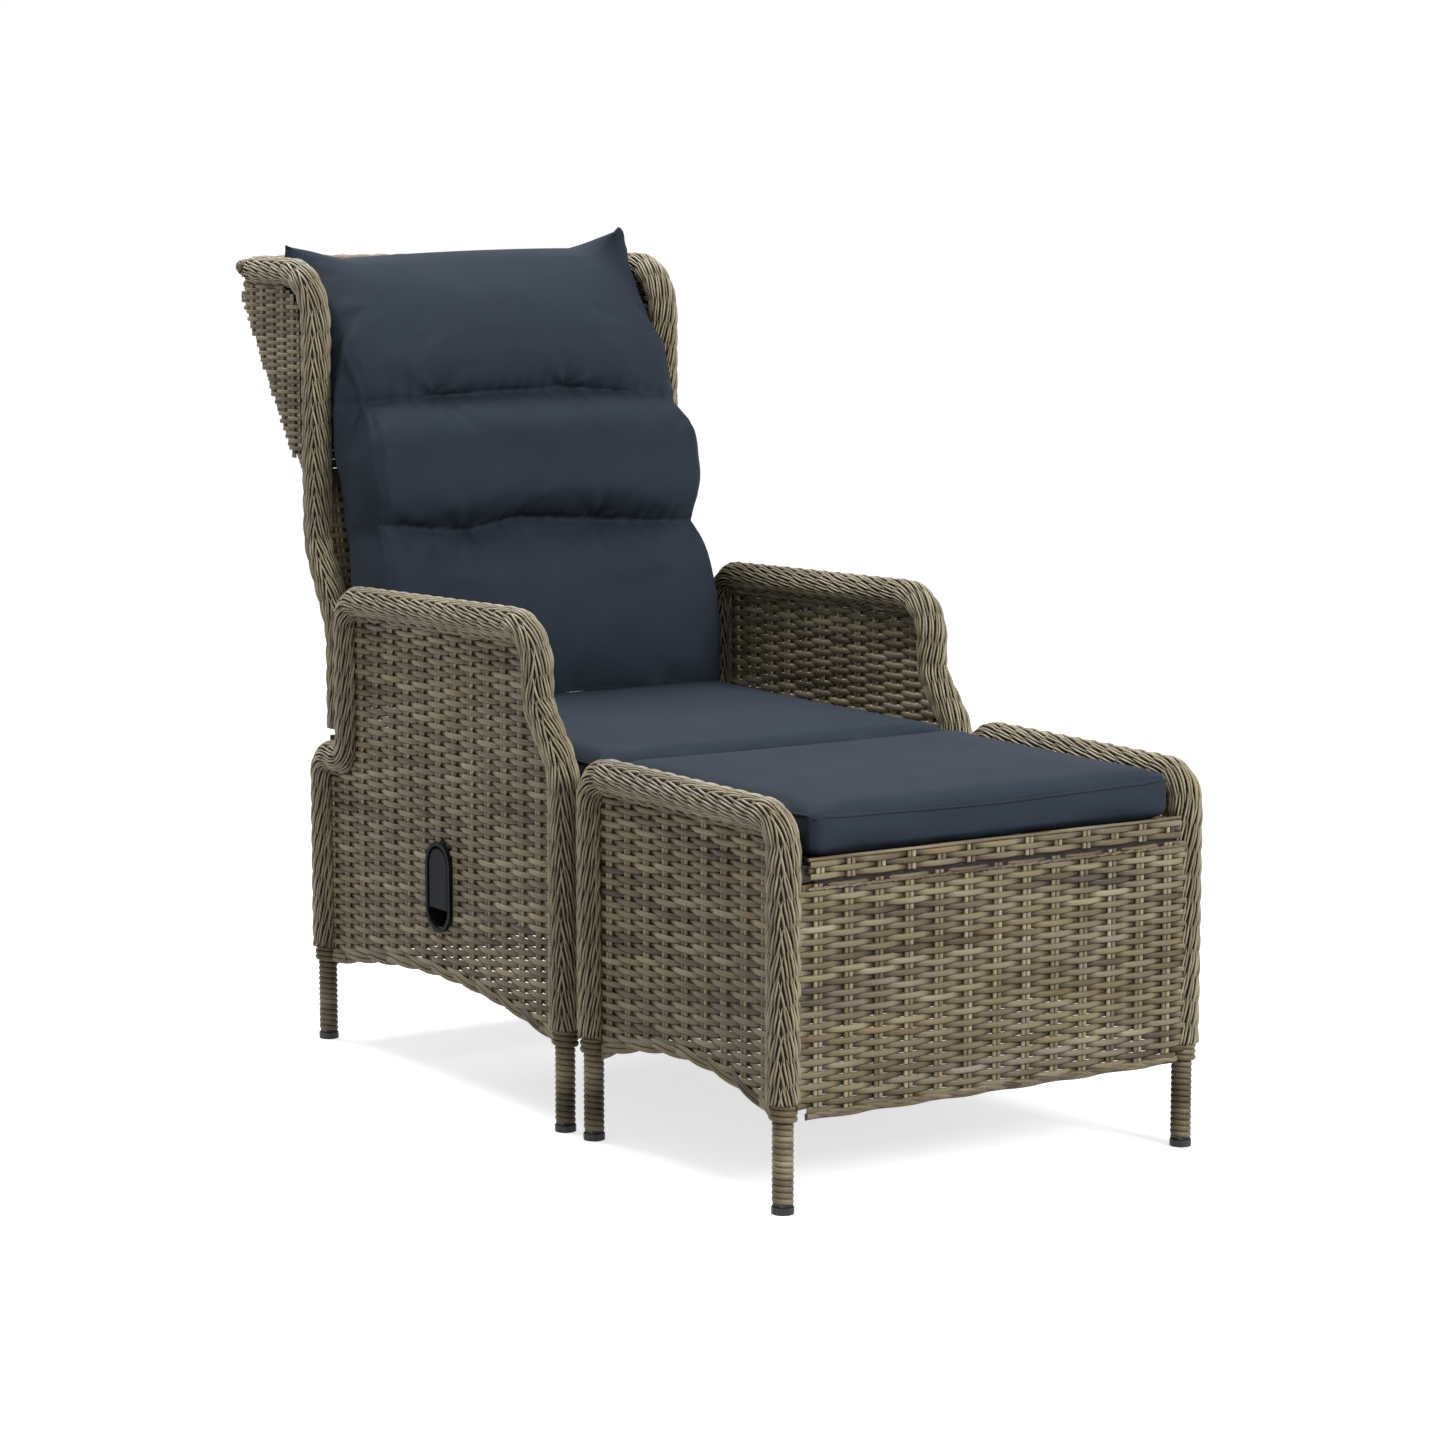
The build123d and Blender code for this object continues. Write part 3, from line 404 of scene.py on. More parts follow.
def strand_tones(net, geometry, along, across, seed):
    """Tones that run in streaks along a strand and change from one strand to the next."""
    place = net.sh("CombineXYZ", along, across, seed)
    for name, low, high, shift in (("tone", 0.1, 0.9, 0.0), ("hue", -0.1, 1.1, 31.7)):
        cloud = noise(net, place.vector("ADD", (shift, shift, shift)), 1.0, 2.0)
        value = net.sh("MapRange", Value=cloud, From_Min=0.28, From_Max=0.72, To_Min=low, To_Max=high)
        geometry = keep(net, geometry, name, value)
    return geometry


def paint_shading(net, geometry, share):
    """Scale the tone by a share: painted shade where the share is below one, as where a strand dives between
    its neighbours, and painted light where it is above one.
    """
    return keep(net, geometry, "tone", recall(net, "tone") * share)


def cane_section(net, width, thickness, points=6):
    """The oval section of a strand, its thickness along the curve's normal."""
    ring = net.geo("CurvePrimitiveCircle", Resolution=points, Radius=0.5)
    ring = net.geo("Transform", Geometry=ring, Rotation=(0, 0, math.pi / 2))
    return net.geo("Transform", Geometry=ring, Scale=net.sh("CombineXYZ", thickness, width, 1.0))


def sweep(net, line, section, **more):
    """A section drawn along a line, with closed ends unless told otherwise."""
    return net.geo("CurveToMesh", Curve=line, Profile_Curve=section, **(more or {"Fill_Caps": True}))


def dress(net, geometry, material):
    """A mesh shaded smooth, with its material."""
    return net.geo("SetMaterial", Geometry=net.geo("SetShadeSmooth", Geometry=geometry), Material=material)


def realize(net, parts):
    """Several parts as one mesh."""
    return net.geo("RealizeInstances", Geometry=net.geo("JoinGeometry", parts))


def position(net):
    """The place of a point as three numbers."""
    return net.sh("SeparateXYZ", net.geo("InputPosition"))


def woven_tree():
    """Weavers and pairs of stakes inside a flat outline that lies in the XZ plane."""
    net, given = new_net("woven_panel", "Row Pitch, Stake Pitch, Stake Gap, Strand Width, Stake Width, "
                         "Thickness, Depth, Step, Reach, Lip, Bare Below, Hole Radius, Seed",
                         Hole="Vector", Cane="Material")
    outline = given["Geometry"]
    box = net.geo("BoundBox", Geometry=outline)
    low, high = net.sh("SeparateXYZ", box["Min"]), net.sh("SeparateXYZ", box["Max"])
    start_x, start_z = low["X"] - given["Reach"], low["Z"] - given["Reach"]
    width = high["X"] - start_x + given["Reach"]
    height = high["Z"] - start_z + given["Reach"]
    middle_x = (low["X"] + high["X"]) * 0.5
    place = net.geo("InputPosition")
    at = net.sh("SeparateXYZ", place)

    def sheet(count, start, step, line_count, copy_step):
        """Straight lines side by side, as loose edges."""
        line = net.geo("MeshLine", Count=line_count, Start_Location=start, Offset=step)
        stations = net.geo("MeshLine", Count=count, Offset=copy_step)
        copies = net.geo("InstanceOnPoints", Points=stations, Instance=line)
        return net.geo("RealizeInstances", Geometry=copies)

    def trim(lines):
        """Drop what lies outside the outline, but let strands run a little way into the rolls."""
        outside = net.sh("CombineXYZ", at["X"], -1.0, at["Z"])
        hit = net.geo("Raycast", Target_Geometry=outline, Source_Position=outside, Ray_Direction=y_axis,
                      Ray_Length=2.0)
        near = net.geo("Proximity", outline, Source_Position=place, target_element="FACES")["Distance"]
        apart = place.vector("DISTANCE", given["Hole"])["Value"]
        spill = (near < given["Reach"]) & (at["Z"] > given["Bare Below"]) & (apart > given["Hole Radius"])
        gone = ~(hit | (near < given["Lip"]) | spill)
        return net.geo("DeleteGeometry", Geometry=lines, Selection=gone, domain="POINT")

    row_lift = net.sh("CombineXYZ", 0.0, 0.0, given["Row Pitch"])
    lines = sheet((height / given["Row Pitch"]).do("FLOOR"), net.sh("CombineXYZ", start_x, 0.0, start_z),
                  net.sh("CombineXYZ", given["Step"]), (width / given["Step"]).do("CEIL"), row_lift)
    row = ((at["Z"] - start_z) / given["Row Pitch"]).do("ROUND")
    side = 1.0 - row.do("MODULO", 2.0) * 2.0
    wave = ((at["X"] - middle_x) / given["Stake Pitch"] * math.pi).do("COSINE")
    rise = net.sh("Clamp", wave * 1.2, -1.0, 1.0) * side
    lines = strand_tones(net, lines, at["X"] * 5.0, row * 0.41, given["Seed"])
    lines = trim(keep(net, lines, "rise", rise))
    wander = (noise(net, place, 60.0, 1.0) - 0.5) * 0.0005
    shift = net.sh("CombineXYZ", 0.0, rise * given["Depth"], wander)
    lines = net.geo("SetPosition", Geometry=lines, Offset=shift)
    weavers = net.geo("SetCurveNormal", Curve=net.geo("MeshToCurve", Mesh=lines), mode="Z_UP")
    weavers = sweep(net, weavers, cane_section(net, given["Strand Width"], given["Thickness"]))
    outward = net.sh("SeparateXYZ", net.geo("InputNormal"))["Y"]
    # Painted shade: each weaver's tone is darkened on the face where it dives behind the stakes.
    dive_shade = recall(net, "rise") * outward * 0.85 + 1.0
    weavers = paint_shading(net, weavers, dive_shade.do("MINIMUM", 1.0))

    half_count = (width / (given["Stake Pitch"] * 2.0)).do("CEIL")
    first = middle_x - half_count * given["Stake Pitch"]
    pair = []
    for hand in (-0.5, 0.5):
        foot = first + given["Stake Gap"] * hand
        start = net.sh("CombineXYZ", foot, 0.0, start_z - given["Row Pitch"] * 0.5)
        stakes = sheet(half_count * 2.0 + 1.0, start, row_lift, (height / given["Row Pitch"]).do("CEIL"),
                       net.sh("CombineXYZ", given["Stake Pitch"]))
        column = ((at["X"] - foot) / given["Stake Pitch"]).do("ROUND")
        stakes = strand_tones(net, stakes, at["Z"] * 6.0, column * 1.7 + (40.0 + hand), given["Seed"])
        # Painted light: the stakes' tones are raised by a third to make up for the shade they stand in.
        pair.append(trim(paint_shading(net, stakes, 1.35)))
    stakes = net.geo("MeshToCurve", Mesh=net.geo("JoinGeometry", pair))
    stakes = net.geo("SetCurveNormal", Curve=stakes, Normal=y_axis, mode="FREE")
    stakes = sweep(net, stakes, cane_section(net, given["Stake Width"], given["Thickness"] * 1.55))
    return net.give(dress(net, realize(net, [weavers, stakes]), given["Cane"]))


woven_panel = woven_tree()


def solved(piece):
    """The mesh of a piece with its modifiers worked out."""
    return bpy.data.meshes.new_from_object(piece.evaluated_get(bpy.context.evaluated_depsgraph_get()))


def run_tree(name, mesh, tree, turn=None, **values):
    """Put a tree on a mesh, make its result a plain mesh and lay it in the part's frame."""
    host = stand(name, mesh)
    modifier = host.modifiers.new(name, "NODES")
    modifier.node_group = tree
    sockets = {item.name: item.identifier for item in tree.interface.items_tree if item.in_out == "INPUT"}
    for title, value in values.items():
        modifier[sockets[title.replace("_", " ")]] = value
    bpy.context.view_layer.update()
    result = solved(host)
    host.modifiers.remove(modifier)
    host.data = result
    result.name = name
    if turn:
        result.transform(turn)
    return host


def cad_copy(node, distance, turn=None, outward=False):
    """A copy of a CAD node's mesh with its facets joined, laid in a panel's own plane where one is given."""
    mesh = nodes[node].data.copy()
    mesh.materials.clear()
    if turn:
        mesh.transform(turn.inverted())
    shell = bmesh.new()
    shell.from_mesh(mesh)
    bmesh.ops.remove_doubles(shell, verts=shell.verts, dist=distance)
    if outward:
        bmesh.ops.recalc_face_normals(shell, faces=shell.faces)
    shell.to_mesh(mesh)
    shell.free()
    return mesh


def panel_plane(origin, across, up):
    """The frame of a panel: X across it, Z up it, Y through it."""
    across, up = Vector(across), Vector(up).normalized()
    through = up.cross(across)
    turn = Matrix((across, through, up)).transposed().to_4x4()
    turn.translation = origin
    return turn


def weave(node, body, turn, seed, bare_below=-1.0, hole=no_hole, step=row_pitch, reach=0.012, lip=0.0,
          fine=1.0, depth=weave_depth):
    """Weave a panel over the outline of its CAD node, in place of it."""
    piece = run_tree(node + "_weave", cad_copy(node, 1e-6, turn), woven_panel, turn,
                     Row_Pitch=row_pitch * fine, Stake_Pitch=stake_pitch * fine, Stake_Gap=stake_gap * fine,
                     Strand_Width=strand_width * fine, Stake_Width=stake_width * fine,
                     Thickness=strand_thickness * fine, Depth=depth * fine, Step=step * fine, Reach=reach,
                     Lip=lip, Bare_Below=bare_below, Hole=hole, Hole_Radius=hole_radius, Seed=seed, Cane=cane)
    belong(piece, body, node)


def upright(x):
    """The plane of a side panel, seen from the right."""
    return panel_plane((x, 0, 0), (0, -1, 0), z_axis)


handle_hole = (-0.097, 0, 0.245)
for hand, side in hands:
    right = hand == "right"
    weave(f"side_panel_{hand}", "chair_base", upright(side * side_x), 3.0 + side, bare_below=side_hem,
          hole=handle_hole if right else no_hole, lip=0.0 if right else 0.002)
    weave(f"stool_side_panel_{hand}", "footstool", upright(side * stool_side_x), 7.0 + side,
          bare_below=side_hem)

for node, body, seed in (("front_panel", "chair_base", 11.0), ("rear_panel", "chair_base", 12.0),
                         ("stool_front_panel", "footstool", 13.0), ("stool_rear_panel", "footstool", 14.0)):
    low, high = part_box(node)
    turn = panel_plane((0, (low.y + high.y) / 2, 0), x_axis, z_axis)
    weave(node, body, turn, seed, bare_below=front_hem)

lean, steep = (0, 0.185, 0.264), (0, 0.058, 0.25)
weave("back_panel_upper", "backrest", panel_plane((0, 0.454, 0.716), x_axis, lean), 15.0, reach=0.01,
      depth=thin_depth)
weave("back_panel_lower", "backrest", panel_plane((0, 0.396, 0.466), x_axis, steep), 16.0, reach=0.018,
      depth=thin_depth)
for node, body, seed in (("seat_deck", "chair_base", 17.0), ("stool_deck", "footstool", 18.0)):
    low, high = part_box(node)
    turn = panel_plane((0, 0, (low.z + high.z) / 2), x_axis, y_axis)
    weave(node, body, turn, seed, step=0.01, reach=0.0)
for hand, side in hands:
    weave(f"wing_panel_{hand}", "backrest", upright(side * 0.2745), 19.0 + side, reach=0.009, fine=0.72)

# Plaited rolls over the frame.
# The same cane, plaited in pairs round each tube. The pairs leave a spine on the outer corner to
# both sides, and each one dips under the next.
# A near-black core under the strands: painted shade that shows as dark gaps between them.
plait_shade_core = grained("plait_shade_core", (0.009, 0.007, 0.005), 0.8, 400, 0.3, 0.0003)


def plait_tree():
    """A herringbone of short strand pairs, laid out flat and then wrapped round a centre line."""
    net, given = new_net("plaited_roll", "Radius, Period, Thickness, Slant, Fill, Spine, Seed", Pairs="Int",
                         Side="Vector", Cane="Material", Core="Material")
    centre = net.geo("MeshToCurve", Mesh=given["Geometry"])
    length = net.geo("CurveLength", Curve=centre)
    strand_width = given["Radius"] * math.pi / given["Pairs"] * 0.5
    strands = given["Pairs"] * 2.0
    count = ((length / given["Period"]).do("CEIL") + 1.0) * strands
    at = position(net)
    # The strands lie flat here, so their thickness takes the place of the width.
    section = cane_section(net, given["Thickness"], strand_width * given["Fill"], points=5)
    halves = []
    for half in (-1.0, 1.0):
        line = net.geo("CurvePrimitiveLine", Start=(-0.5, 0, 0), End=(0.5, 0, 0))
        line = net.geo("ResampleCurve", Curve=line, Count=9)
        x = at["X"] * (given["Period"] * 1.42)
        down = 0.5 - at["X"]
        tip = (1.0 - down / 0.42).do("MAXIMUM", 0.0) ** 1.6
        tail = ((down - 0.5) / 0.5).do("MAXIMUM", 0.0) ** 1.6
        spot = net.sh("CombineXYZ", x, x * given["Slant"] * -half, 0.0003 - (tip * 0.0014 + tail * 0.0036))
        line = net.geo("SetCurveRadius", Curve=line, Radius=1.04 - (tip * 0.72 + tail * 0.3))
        # Painted shade: the tone darkens towards each strand's tip and tail, where it dips under its
        # neighbours.
        line = keep(net, line, "sunk", tip * 0.35 + tail * 0.85)
        line = net.geo("SetPosition", Geometry=line, Position=spot)
        line = net.geo("SetCurveNormal", Curve=line, mode="Z_UP")
        strand = sweep(net, line, section, Scale=net.geo("InputRadius"))
        index = net.geo("InputIndex")
        column = index.do("MODULO", strands)
        row = ((index + 0.5) / strands).do("FLOOR")
        second = column.do("MODULO", 2.0)
        along = (row + second * 0.13 + column * 0.03) * given["Period"]
        spot = net.sh("CombineXYZ", along, (column + 0.5) * strand_width * half, second * -0.0004)
        points = net.geo("Points", Count=count, Position=spot)
        points = strand_tones(net, points, along * 6.0, (row - column) * 1.9 + half * 50.0, given["Seed"])
        wobble = net.fn("RandomValue", None, None, -0.05, 0.05, ID=index, Seed=5, data_type="FLOAT")[1]
        halves.append(net.geo("InstanceOnPoints", Points=points, Instance=strand,
                              Rotation=net.sh("CombineXYZ", 0.0, 0.0, wobble)))
    carpet = paint_shading(net, realize(net, halves), 1.0 - recall(net, "sunk"))
    along = net.sh("Clamp", at["X"], 0.0, length)
    sample = net.geo("SampleCurve", Curves=centre, Length=along, mode="LENGTH", data_type="FLOAT")
    outward = given["Side"].vector("CROSS_PRODUCT", sample["Tangent"])
    angle = at["Y"] / given["Radius"] + given["Spine"]
    radial = outward.times(angle.do("COSINE")).vector("SUBTRACT", given["Side"].times(angle.do("SINE")))
    spot = sample["Position"].vector("ADD", radial.times(given["Radius"] + at["Z"]))
    carpet = net.geo("SetPosition", Geometry=carpet, Position=spot)
    # The core tube is painted shade, seen only through the gaps of the plait.
    ring = net.geo("CurvePrimitiveCircle", Resolution=14, Radius=given["Radius"] - 0.0022)
    shade_core = net.geo("SetMaterial", Geometry=sweep(net, centre, ring), Material=given["Core"])
    return net.give(net.geo("JoinGeometry", [dress(net, carpet, given["Cane"]), shade_core]))


plaited_roll = plait_tree()


def bent(points, bends, chord=math.radians(9)):
    """The points with each corner replaced by a bend of the given radius."""
    corners = [complex(*point) for point in points]
    line = [corners[0]]
    for before, corner, after, radius in zip(corners, corners[1:], corners[2:], bends):
        heading = (corner - before) / abs(corner - before)
        ratio = (after - corner) / heading
        turn = math.atan2(ratio.imag, ratio.real)
        start = corner - heading * radius * math.tan(abs(turn) / 2)
        centre = start + heading * math.copysign(radius, turn) * 1j
        chords = math.ceil(abs(turn) / chord)
        for step in range(chords + 1):
            swing = turn * step / chords
            line.append(centre + (start - centre) * complex(math.cos(swing), math.sin(swing)))
    return [(place.real, place.imag) for place in line + [corners[-1]]]


def line_mesh(name, *lines):
    """Loose edges from point to point along each line."""
    points, edges = [], []
    for line in lines:
        edges += [(len(points) + i, len(points) + i + 1) for i in range(len(line) - 1)]
        points += line
    mesh = bpy.data.meshes.new(name)
    mesh.from_pydata(points, edges, [])
    return mesh


def points_of(piece):
    """The vertices of a mesh piece as an array."""
    co = np.empty(len(piece.data.vertices) * 3)
    piece.data.vertices.foreach_get("co", co)
    return co.reshape(-1, 3)


def normals_of(piece):
    """The normals at the vertices of a mesh piece as an array."""
    normals = np.empty(len(piece.data.vertices) * 3)
    piece.data.vertex_normals.foreach_get("vector", normals)
    return normals.reshape(-1, 3)


def put_points(piece, co):
    """Write the vertices of a mesh piece back."""
    piece.data.vertices.foreach_set("co", co.ravel())
    piece.data.update()


def plait(node, body, points, spine, seed, side=x_axis):
    """Plait a roll along its centre line, in place of its CAD node."""
    piece = run_tree(node + "_plait", line_mesh(node + "_line", points), plaited_roll, Radius=0.0181,
                     Period=0.029, Pairs=7, Thickness=0.0032, Slant=0.2, Fill=0.7, Spine=spine, Side=side,
                     Seed=seed, Cane=plait_cane, Core=plait_shade_core)
    belong(piece, body, node)
    return piece


leg_front, leg_rear = -0.194, 0.403
stool_front, stool_rear = -0.639, -0.247
roll_foot = 0.122
roll_head = 0.98
back_x = 0.262
arm_line = bent([(leg_front, roll_foot), (leg_front, 0.428), (-0.136, 0.496), (-0.136, 0.588), (0.335, 0.575),
                 (0.335, 0.372), (leg_rear, 0.372), (leg_rear, roll_foot)],
                [0.06, 0.045, 0.05, 0.032, 0.024, 0.024])
stool_line = bent([(stool_front, roll_foot), (stool_front, 0.431), (stool_rear, 0.431),
                   (stool_rear, roll_foot)], [0.034, 0.034])
back_line = bent([(0.396, 0.404), (0.396, 0.532), (0.454, 0.636), (0.454, roll_head), (0.619, roll_head)],
                 [0.09, 0.09, 0.062])
for hand, side in hands:
    for name, body, x, line, seed in (("arm_roll", "chair_base", side_x, arm_line, 21.0),
                                      ("stool_roll", "footstool", stool_side_x, stool_line, 24.0),
                                      ("back_roll", "backrest", back_x, back_line, 27.0)):
        points = [(side * x, y, z) for y, z in line]
        plait(f"{name}_{hand}", body, points, -side * math.radians(42), seed + side)
top_roll = plait("back_top_roll", "backrest", [(-0.276, 0.639, roll_head), (0.276, 0.639, roll_head)],
                 math.radians(120), 30.0, y_axis)
co = points_of(top_roll)
taper = np.clip((np.abs(co[:, 0]) - 0.238) / 0.038, 0, 1)[:, None]
tip = np.array((0.643, 0.989))
co[:, 1:] += (tip - co[:, 1:]) * taper ** 1.5 * 0.55
put_points(top_roll, co)

# Wound legs and collars.
# One strand of cane is wound round each leg tube from the glide up, glued and tacked. A collar
# of two or three thicker turns covers the end of the plait.
coil_pitch = 0.0069


def wound_tree():
    """A strand wound round each upright line that starts at a point of the mesh."""
    net, given = new_net("wound_leg", "Foot Radius, Head Radius, Turns, Height, Width, Thickness, Seed",
                         Cane="Material")
    coil = net.geo("CurveSpiral", Resolution=16, Rotations=given["Turns"], Start_Radius=given["Foot Radius"],
                   End_Radius=given["Head Radius"], Height=given["Height"])
    coil = net.geo("SetCurveNormal", Curve=coil, mode="Z_UP")
    wound = sweep(net, coil, cane_section(net, given["Width"], given["Thickness"], points=8))
    copies = net.geo("InstanceOnPoints", Points=given["Geometry"], Instance=wound)
    at = position(net)
    whole = strand_tones(net, net.geo("RealizeInstances", Geometry=copies), at["X"] * 2.0,
                         at["Z"] * 38.0 + at["Y"] * 7.0, given["Seed"])
    return net.give(dress(net, whole, given["Cane"]))


wound_leg = wound_tree()


def winding(name, starts, radius, height, pitch, thickness, seed):
    """Strands wound round upright lines, from a start point each."""
    middle = radius - thickness / 2
    return run_tree(name, line_mesh(name, *[[start] for start in starts]), wound_leg, Foot_Radius=middle,
                    Head_Radius=middle, Turns=height / pitch, Height=height, Width=pitch, Thickness=thickness,
                    Seed=seed, Cane=cane)


for owner, body, x, front, rear in (("", "chair_base", side_x, leg_front, leg_rear),
                                    ("stool_", "footstool", stool_side_x, stool_front, stool_rear)):
    for name, foot, height, radius, thickness, seed in (
            ("leg_wraps", 0.0125, 0.0915, 0.0123, 0.005, 33.0),
            ("leg_collars", 0.1035, 0.0172, 0.0164, 0.0062, 34.0)):
        node = owner + name
        starts = [(side * x, y, foot) for side in (-1, 1) for y in (front, rear)]
        coil = winding(node + "_winding", starts, radius, height, coil_pitch, thickness, seed)
        belong(coil, body, node)

# Wound edges of the back.
# A flat strand is wound round the leaning tube behind each wing, and each end of the top roll is
# closed by a strand coiled flat.
lean_foot, lean_head = Vector((0, 0.454, 0.716)), Vector((0, 0.639, roll_head))
lean_run = lean_head - lean_foot
for hand, side in hands:
    edge = winding(f"wing_edge_{hand}", [(0, 0, 0)], 0.0118, lean_run.length - 0.026, 0.0066, 0.0019,
                   35.0 + side)
    co = points_of(edge)
    angle = np.arctan2(co[:, 1], co[:, 0])
    co[:, :2] *= ((np.abs(np.cos(angle)) ** 10 + np.abs(np.sin(angle)) ** 10) ** -0.1)[:, None]
    put_points(edge, co)
    foot = lean_foot + lean_run * 0.035 + Vector((side * back_x, 0, 0))
    edge.data.transform(panel_plane(foot, x_axis, lean_run))
    belong(edge, "backrest")
    name = f"top_roll_end_{hand}"
    turn = panel_plane((side * 0.2768, 0.6412, 0.985), y_axis, (side, 0, 0))
    coil = run_tree(name, line_mesh(name, [(0, 0, 0)]), wound_leg, turn, Foot_Radius=0.0015,
                    Head_Radius=0.0062, Turns=1.6, Height=0.0, Width=0.0042, Thickness=0.0044,
                    Seed=37.0 + side, Cane=cane)
    belong(coil, "backrest")

# Seat and footstool cushions.
# Foam in a cover of slate blue polyester. The cover is boxed: a top and a bottom panel are
# sewn to a side band, and the seam round the top stands up as a fine ridge.


def fabric_finish(name, color, spread=0.12):
    """Close plain-weave polyester, a little lighter and darker in soft clouds."""
    material, shader = plain_finish(name, color, 0.85, Specular_IOR_Level=0.12)
    net = Net(material.node_tree)
    place = net.sh("TexCoord")["Object"]
    at = net.sh("SeparateXYZ", place)
    ribs = [(at[axis] * (2 * math.pi / 0.0011)).do("SINE") for axis in "XYZ"]
    cloud, slub = noise(net, place, 14.0, 5.0), noise(net, place, 900.0, 2.0)
    stops = list(zip((0.3, 0.72), shades(color, spread)))
    color_ramp(net, cloud * 0.6 + slub * 0.4, stops).to(shader["Base Color"])
    relief = ribs[0] + ribs[1] + ribs[2] + slub * 2.0
    net.sh("Bump", Height=relief, Strength=0.35, Distance=0.0001).to(shader["Normal"])
    return material


fabric = fabric_finish("slate_fabric", (0.0272, 0.037, 0.0515))


def stuffed(name, node, shrink, cap, voxel=0.006, frames=14, pressure=4.0):
    """A CAD cushion's copy, taken in a little and blown up again as cloth."""
    piece = stand(name, cad_copy(node, 1e-5, outward=True))
    bpy.ops.object.select_all(action="DESELECT")
    bpy.context.view_layer.objects.active = piece
    piece.select_set(True)
    piece.data.remesh_voxel_size = voxel
    bpy.ops.object.voxel_remesh()
    start = points_of(piece) - normals_of(piece) * shrink
    put_points(piece, start)
    cloth = piece.modifiers.new("stuffing", "CLOTH")
    for setting, value in {"use_pressure": True, "uniform_pressure_force": pressure, "quality": 4,
                           "tension_stiffness": 25, "compression_stiffness": 25,
                           "bending_stiffness": 2}.items():
        setattr(cloth.settings, setting, value)
    cloth.settings.effector_weights.gravity = 0
    cloth.point_cache.frame_start = 1
    cloth.point_cache.frame_end = frames
    scene = bpy.context.scene
    for step in range(1, frames + 1):
        scene.frame_set(step)
    blown = np.empty(start.size)
    piece.evaluated_get(bpy.context.evaluated_depsgraph_get()).data.vertices.foreach_get("co", blown)
    piece.modifiers.remove(cloth)
    scene.frame_set(1)
    move = blown.reshape(-1, 3) - start
    far = np.linalg.norm(move, axis=1, keepdims=True)
    put_points(piece, start + move * np.minimum(1, cap / np.maximum(far, 1e-9)))
    return piece


def smooth_out(piece, rounds):
    """Relax a remeshed surface, split each face once and cover it with the fabric."""
    relax = piece.modifiers.new("smooth", "SMOOTH")
    relax.iterations = rounds
    relax.factor = 0.5
    finer = piece.modifiers.new("subsurf", "SUBSURF")
    finer.levels = finer.render_levels = 1
    result = solved(piece)
    piece.modifiers.clear()
    piece.data = result
    result.shade_smooth()
    result.materials.clear()
    result.materials.append(fabric)


def seam_ridge(name, piece, level, high, low, corner=0.012, radius=0.0019):
    """The piping that runs round a boxed cushion near its top edge."""
    mesh = piece.data
    faces = [tuple(face.vertices) for face in mesh.polygons]
    skin = BVHTree.FromPolygons([point.co.copy() for point in mesh.vertices], faces)
    half_x, front, rear = high.x, low.y, high.y
    sides = [((-half_x + corner, front), (half_x - corner, front)),
             ((half_x, front + corner), (half_x, rear - corner)),
             ((half_x - corner, rear), (-half_x + corner, rear)),
             ((-half_x, rear - corner), (-half_x, front + corner))]
    middle_y = (front + rear) / 2
    steps = 40
    line = []
    for start, end in sides:
        for step in range(steps):
            x = start[0] + (end[0] - start[0]) * (step / steps)
            y = start[1] + (end[1] - start[1]) * (step / steps)
            if start[0] == end[0]:
                away = Vector((math.copysign(1, x), 0, 0.9)).normalized()
            else:
                away = Vector((0, math.copysign(1, y - middle_y), 0.9)).normalized()
            hit = skin.ray_cast(Vector((x, y, level)) + away * 0.06, -away, 0.2)[0]
            if hit:
                line.append(hit + away * radius * 0.1)
    curve, run = tube(name, "POLY", line, radius, 1)
    run.use_cyclic_u = True
    holder = stand(name, curve)
    mesh = solved(holder)
    bpy.data.objects.remove(holder)
    mesh.shade_smooth()
    mesh.materials.append(fabric)
    return stand(name, mesh)


for node, body, slot, level in (("seat_cushion", "chair_base", "seat_fabric", 0.44),
                                ("stool_cushion", "footstool", "stool_fabric", 0.438)):
    low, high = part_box(node)
    cushion = stuffed(node + "_cover", node, 0.004, 0.007)
    smooth_out(cushion, 4)
    co = points_of(cushion)
    co[:, 2] = np.maximum(co[:, 2], low.z)
    put_points(cushion, co)
    belong(cushion, body, node)
    belong(seam_ridge(node + "_piping", cushion, level, high, low), body)

# Back cushion.
# A long pillow of hollow fibre in the same cloth, sewn through twice across its width, so that it
# stands in three rolls. The cloth gathers at the stitches, and its top corners stick up.
back_piece = stuffed("back_cushion_cover", "back_cushion", 0.01, 0.02, pressure=5.0)
smooth_out(back_piece, 6)
# Each seam runs through these places (x, z), and the cloth is pinched where these x cross it.
top_seam = [(-0.282, 0.813), (-0.209, 0.819), (-0.136, 0.823), (-0.039, 0.827), (0.06, 0.829), (0.142, 0.822),
            (0.229, 0.809)]
low_seam = [(-0.298, 0.659), (-0.229, 0.669), (-0.118, 0.652), (-0.039, 0.668), (0.079, 0.659), (0.16, 0.653),
            (0.229, 0.649)]
pinches = [(-0.13, 0.065), (-0.118, 0.079)]
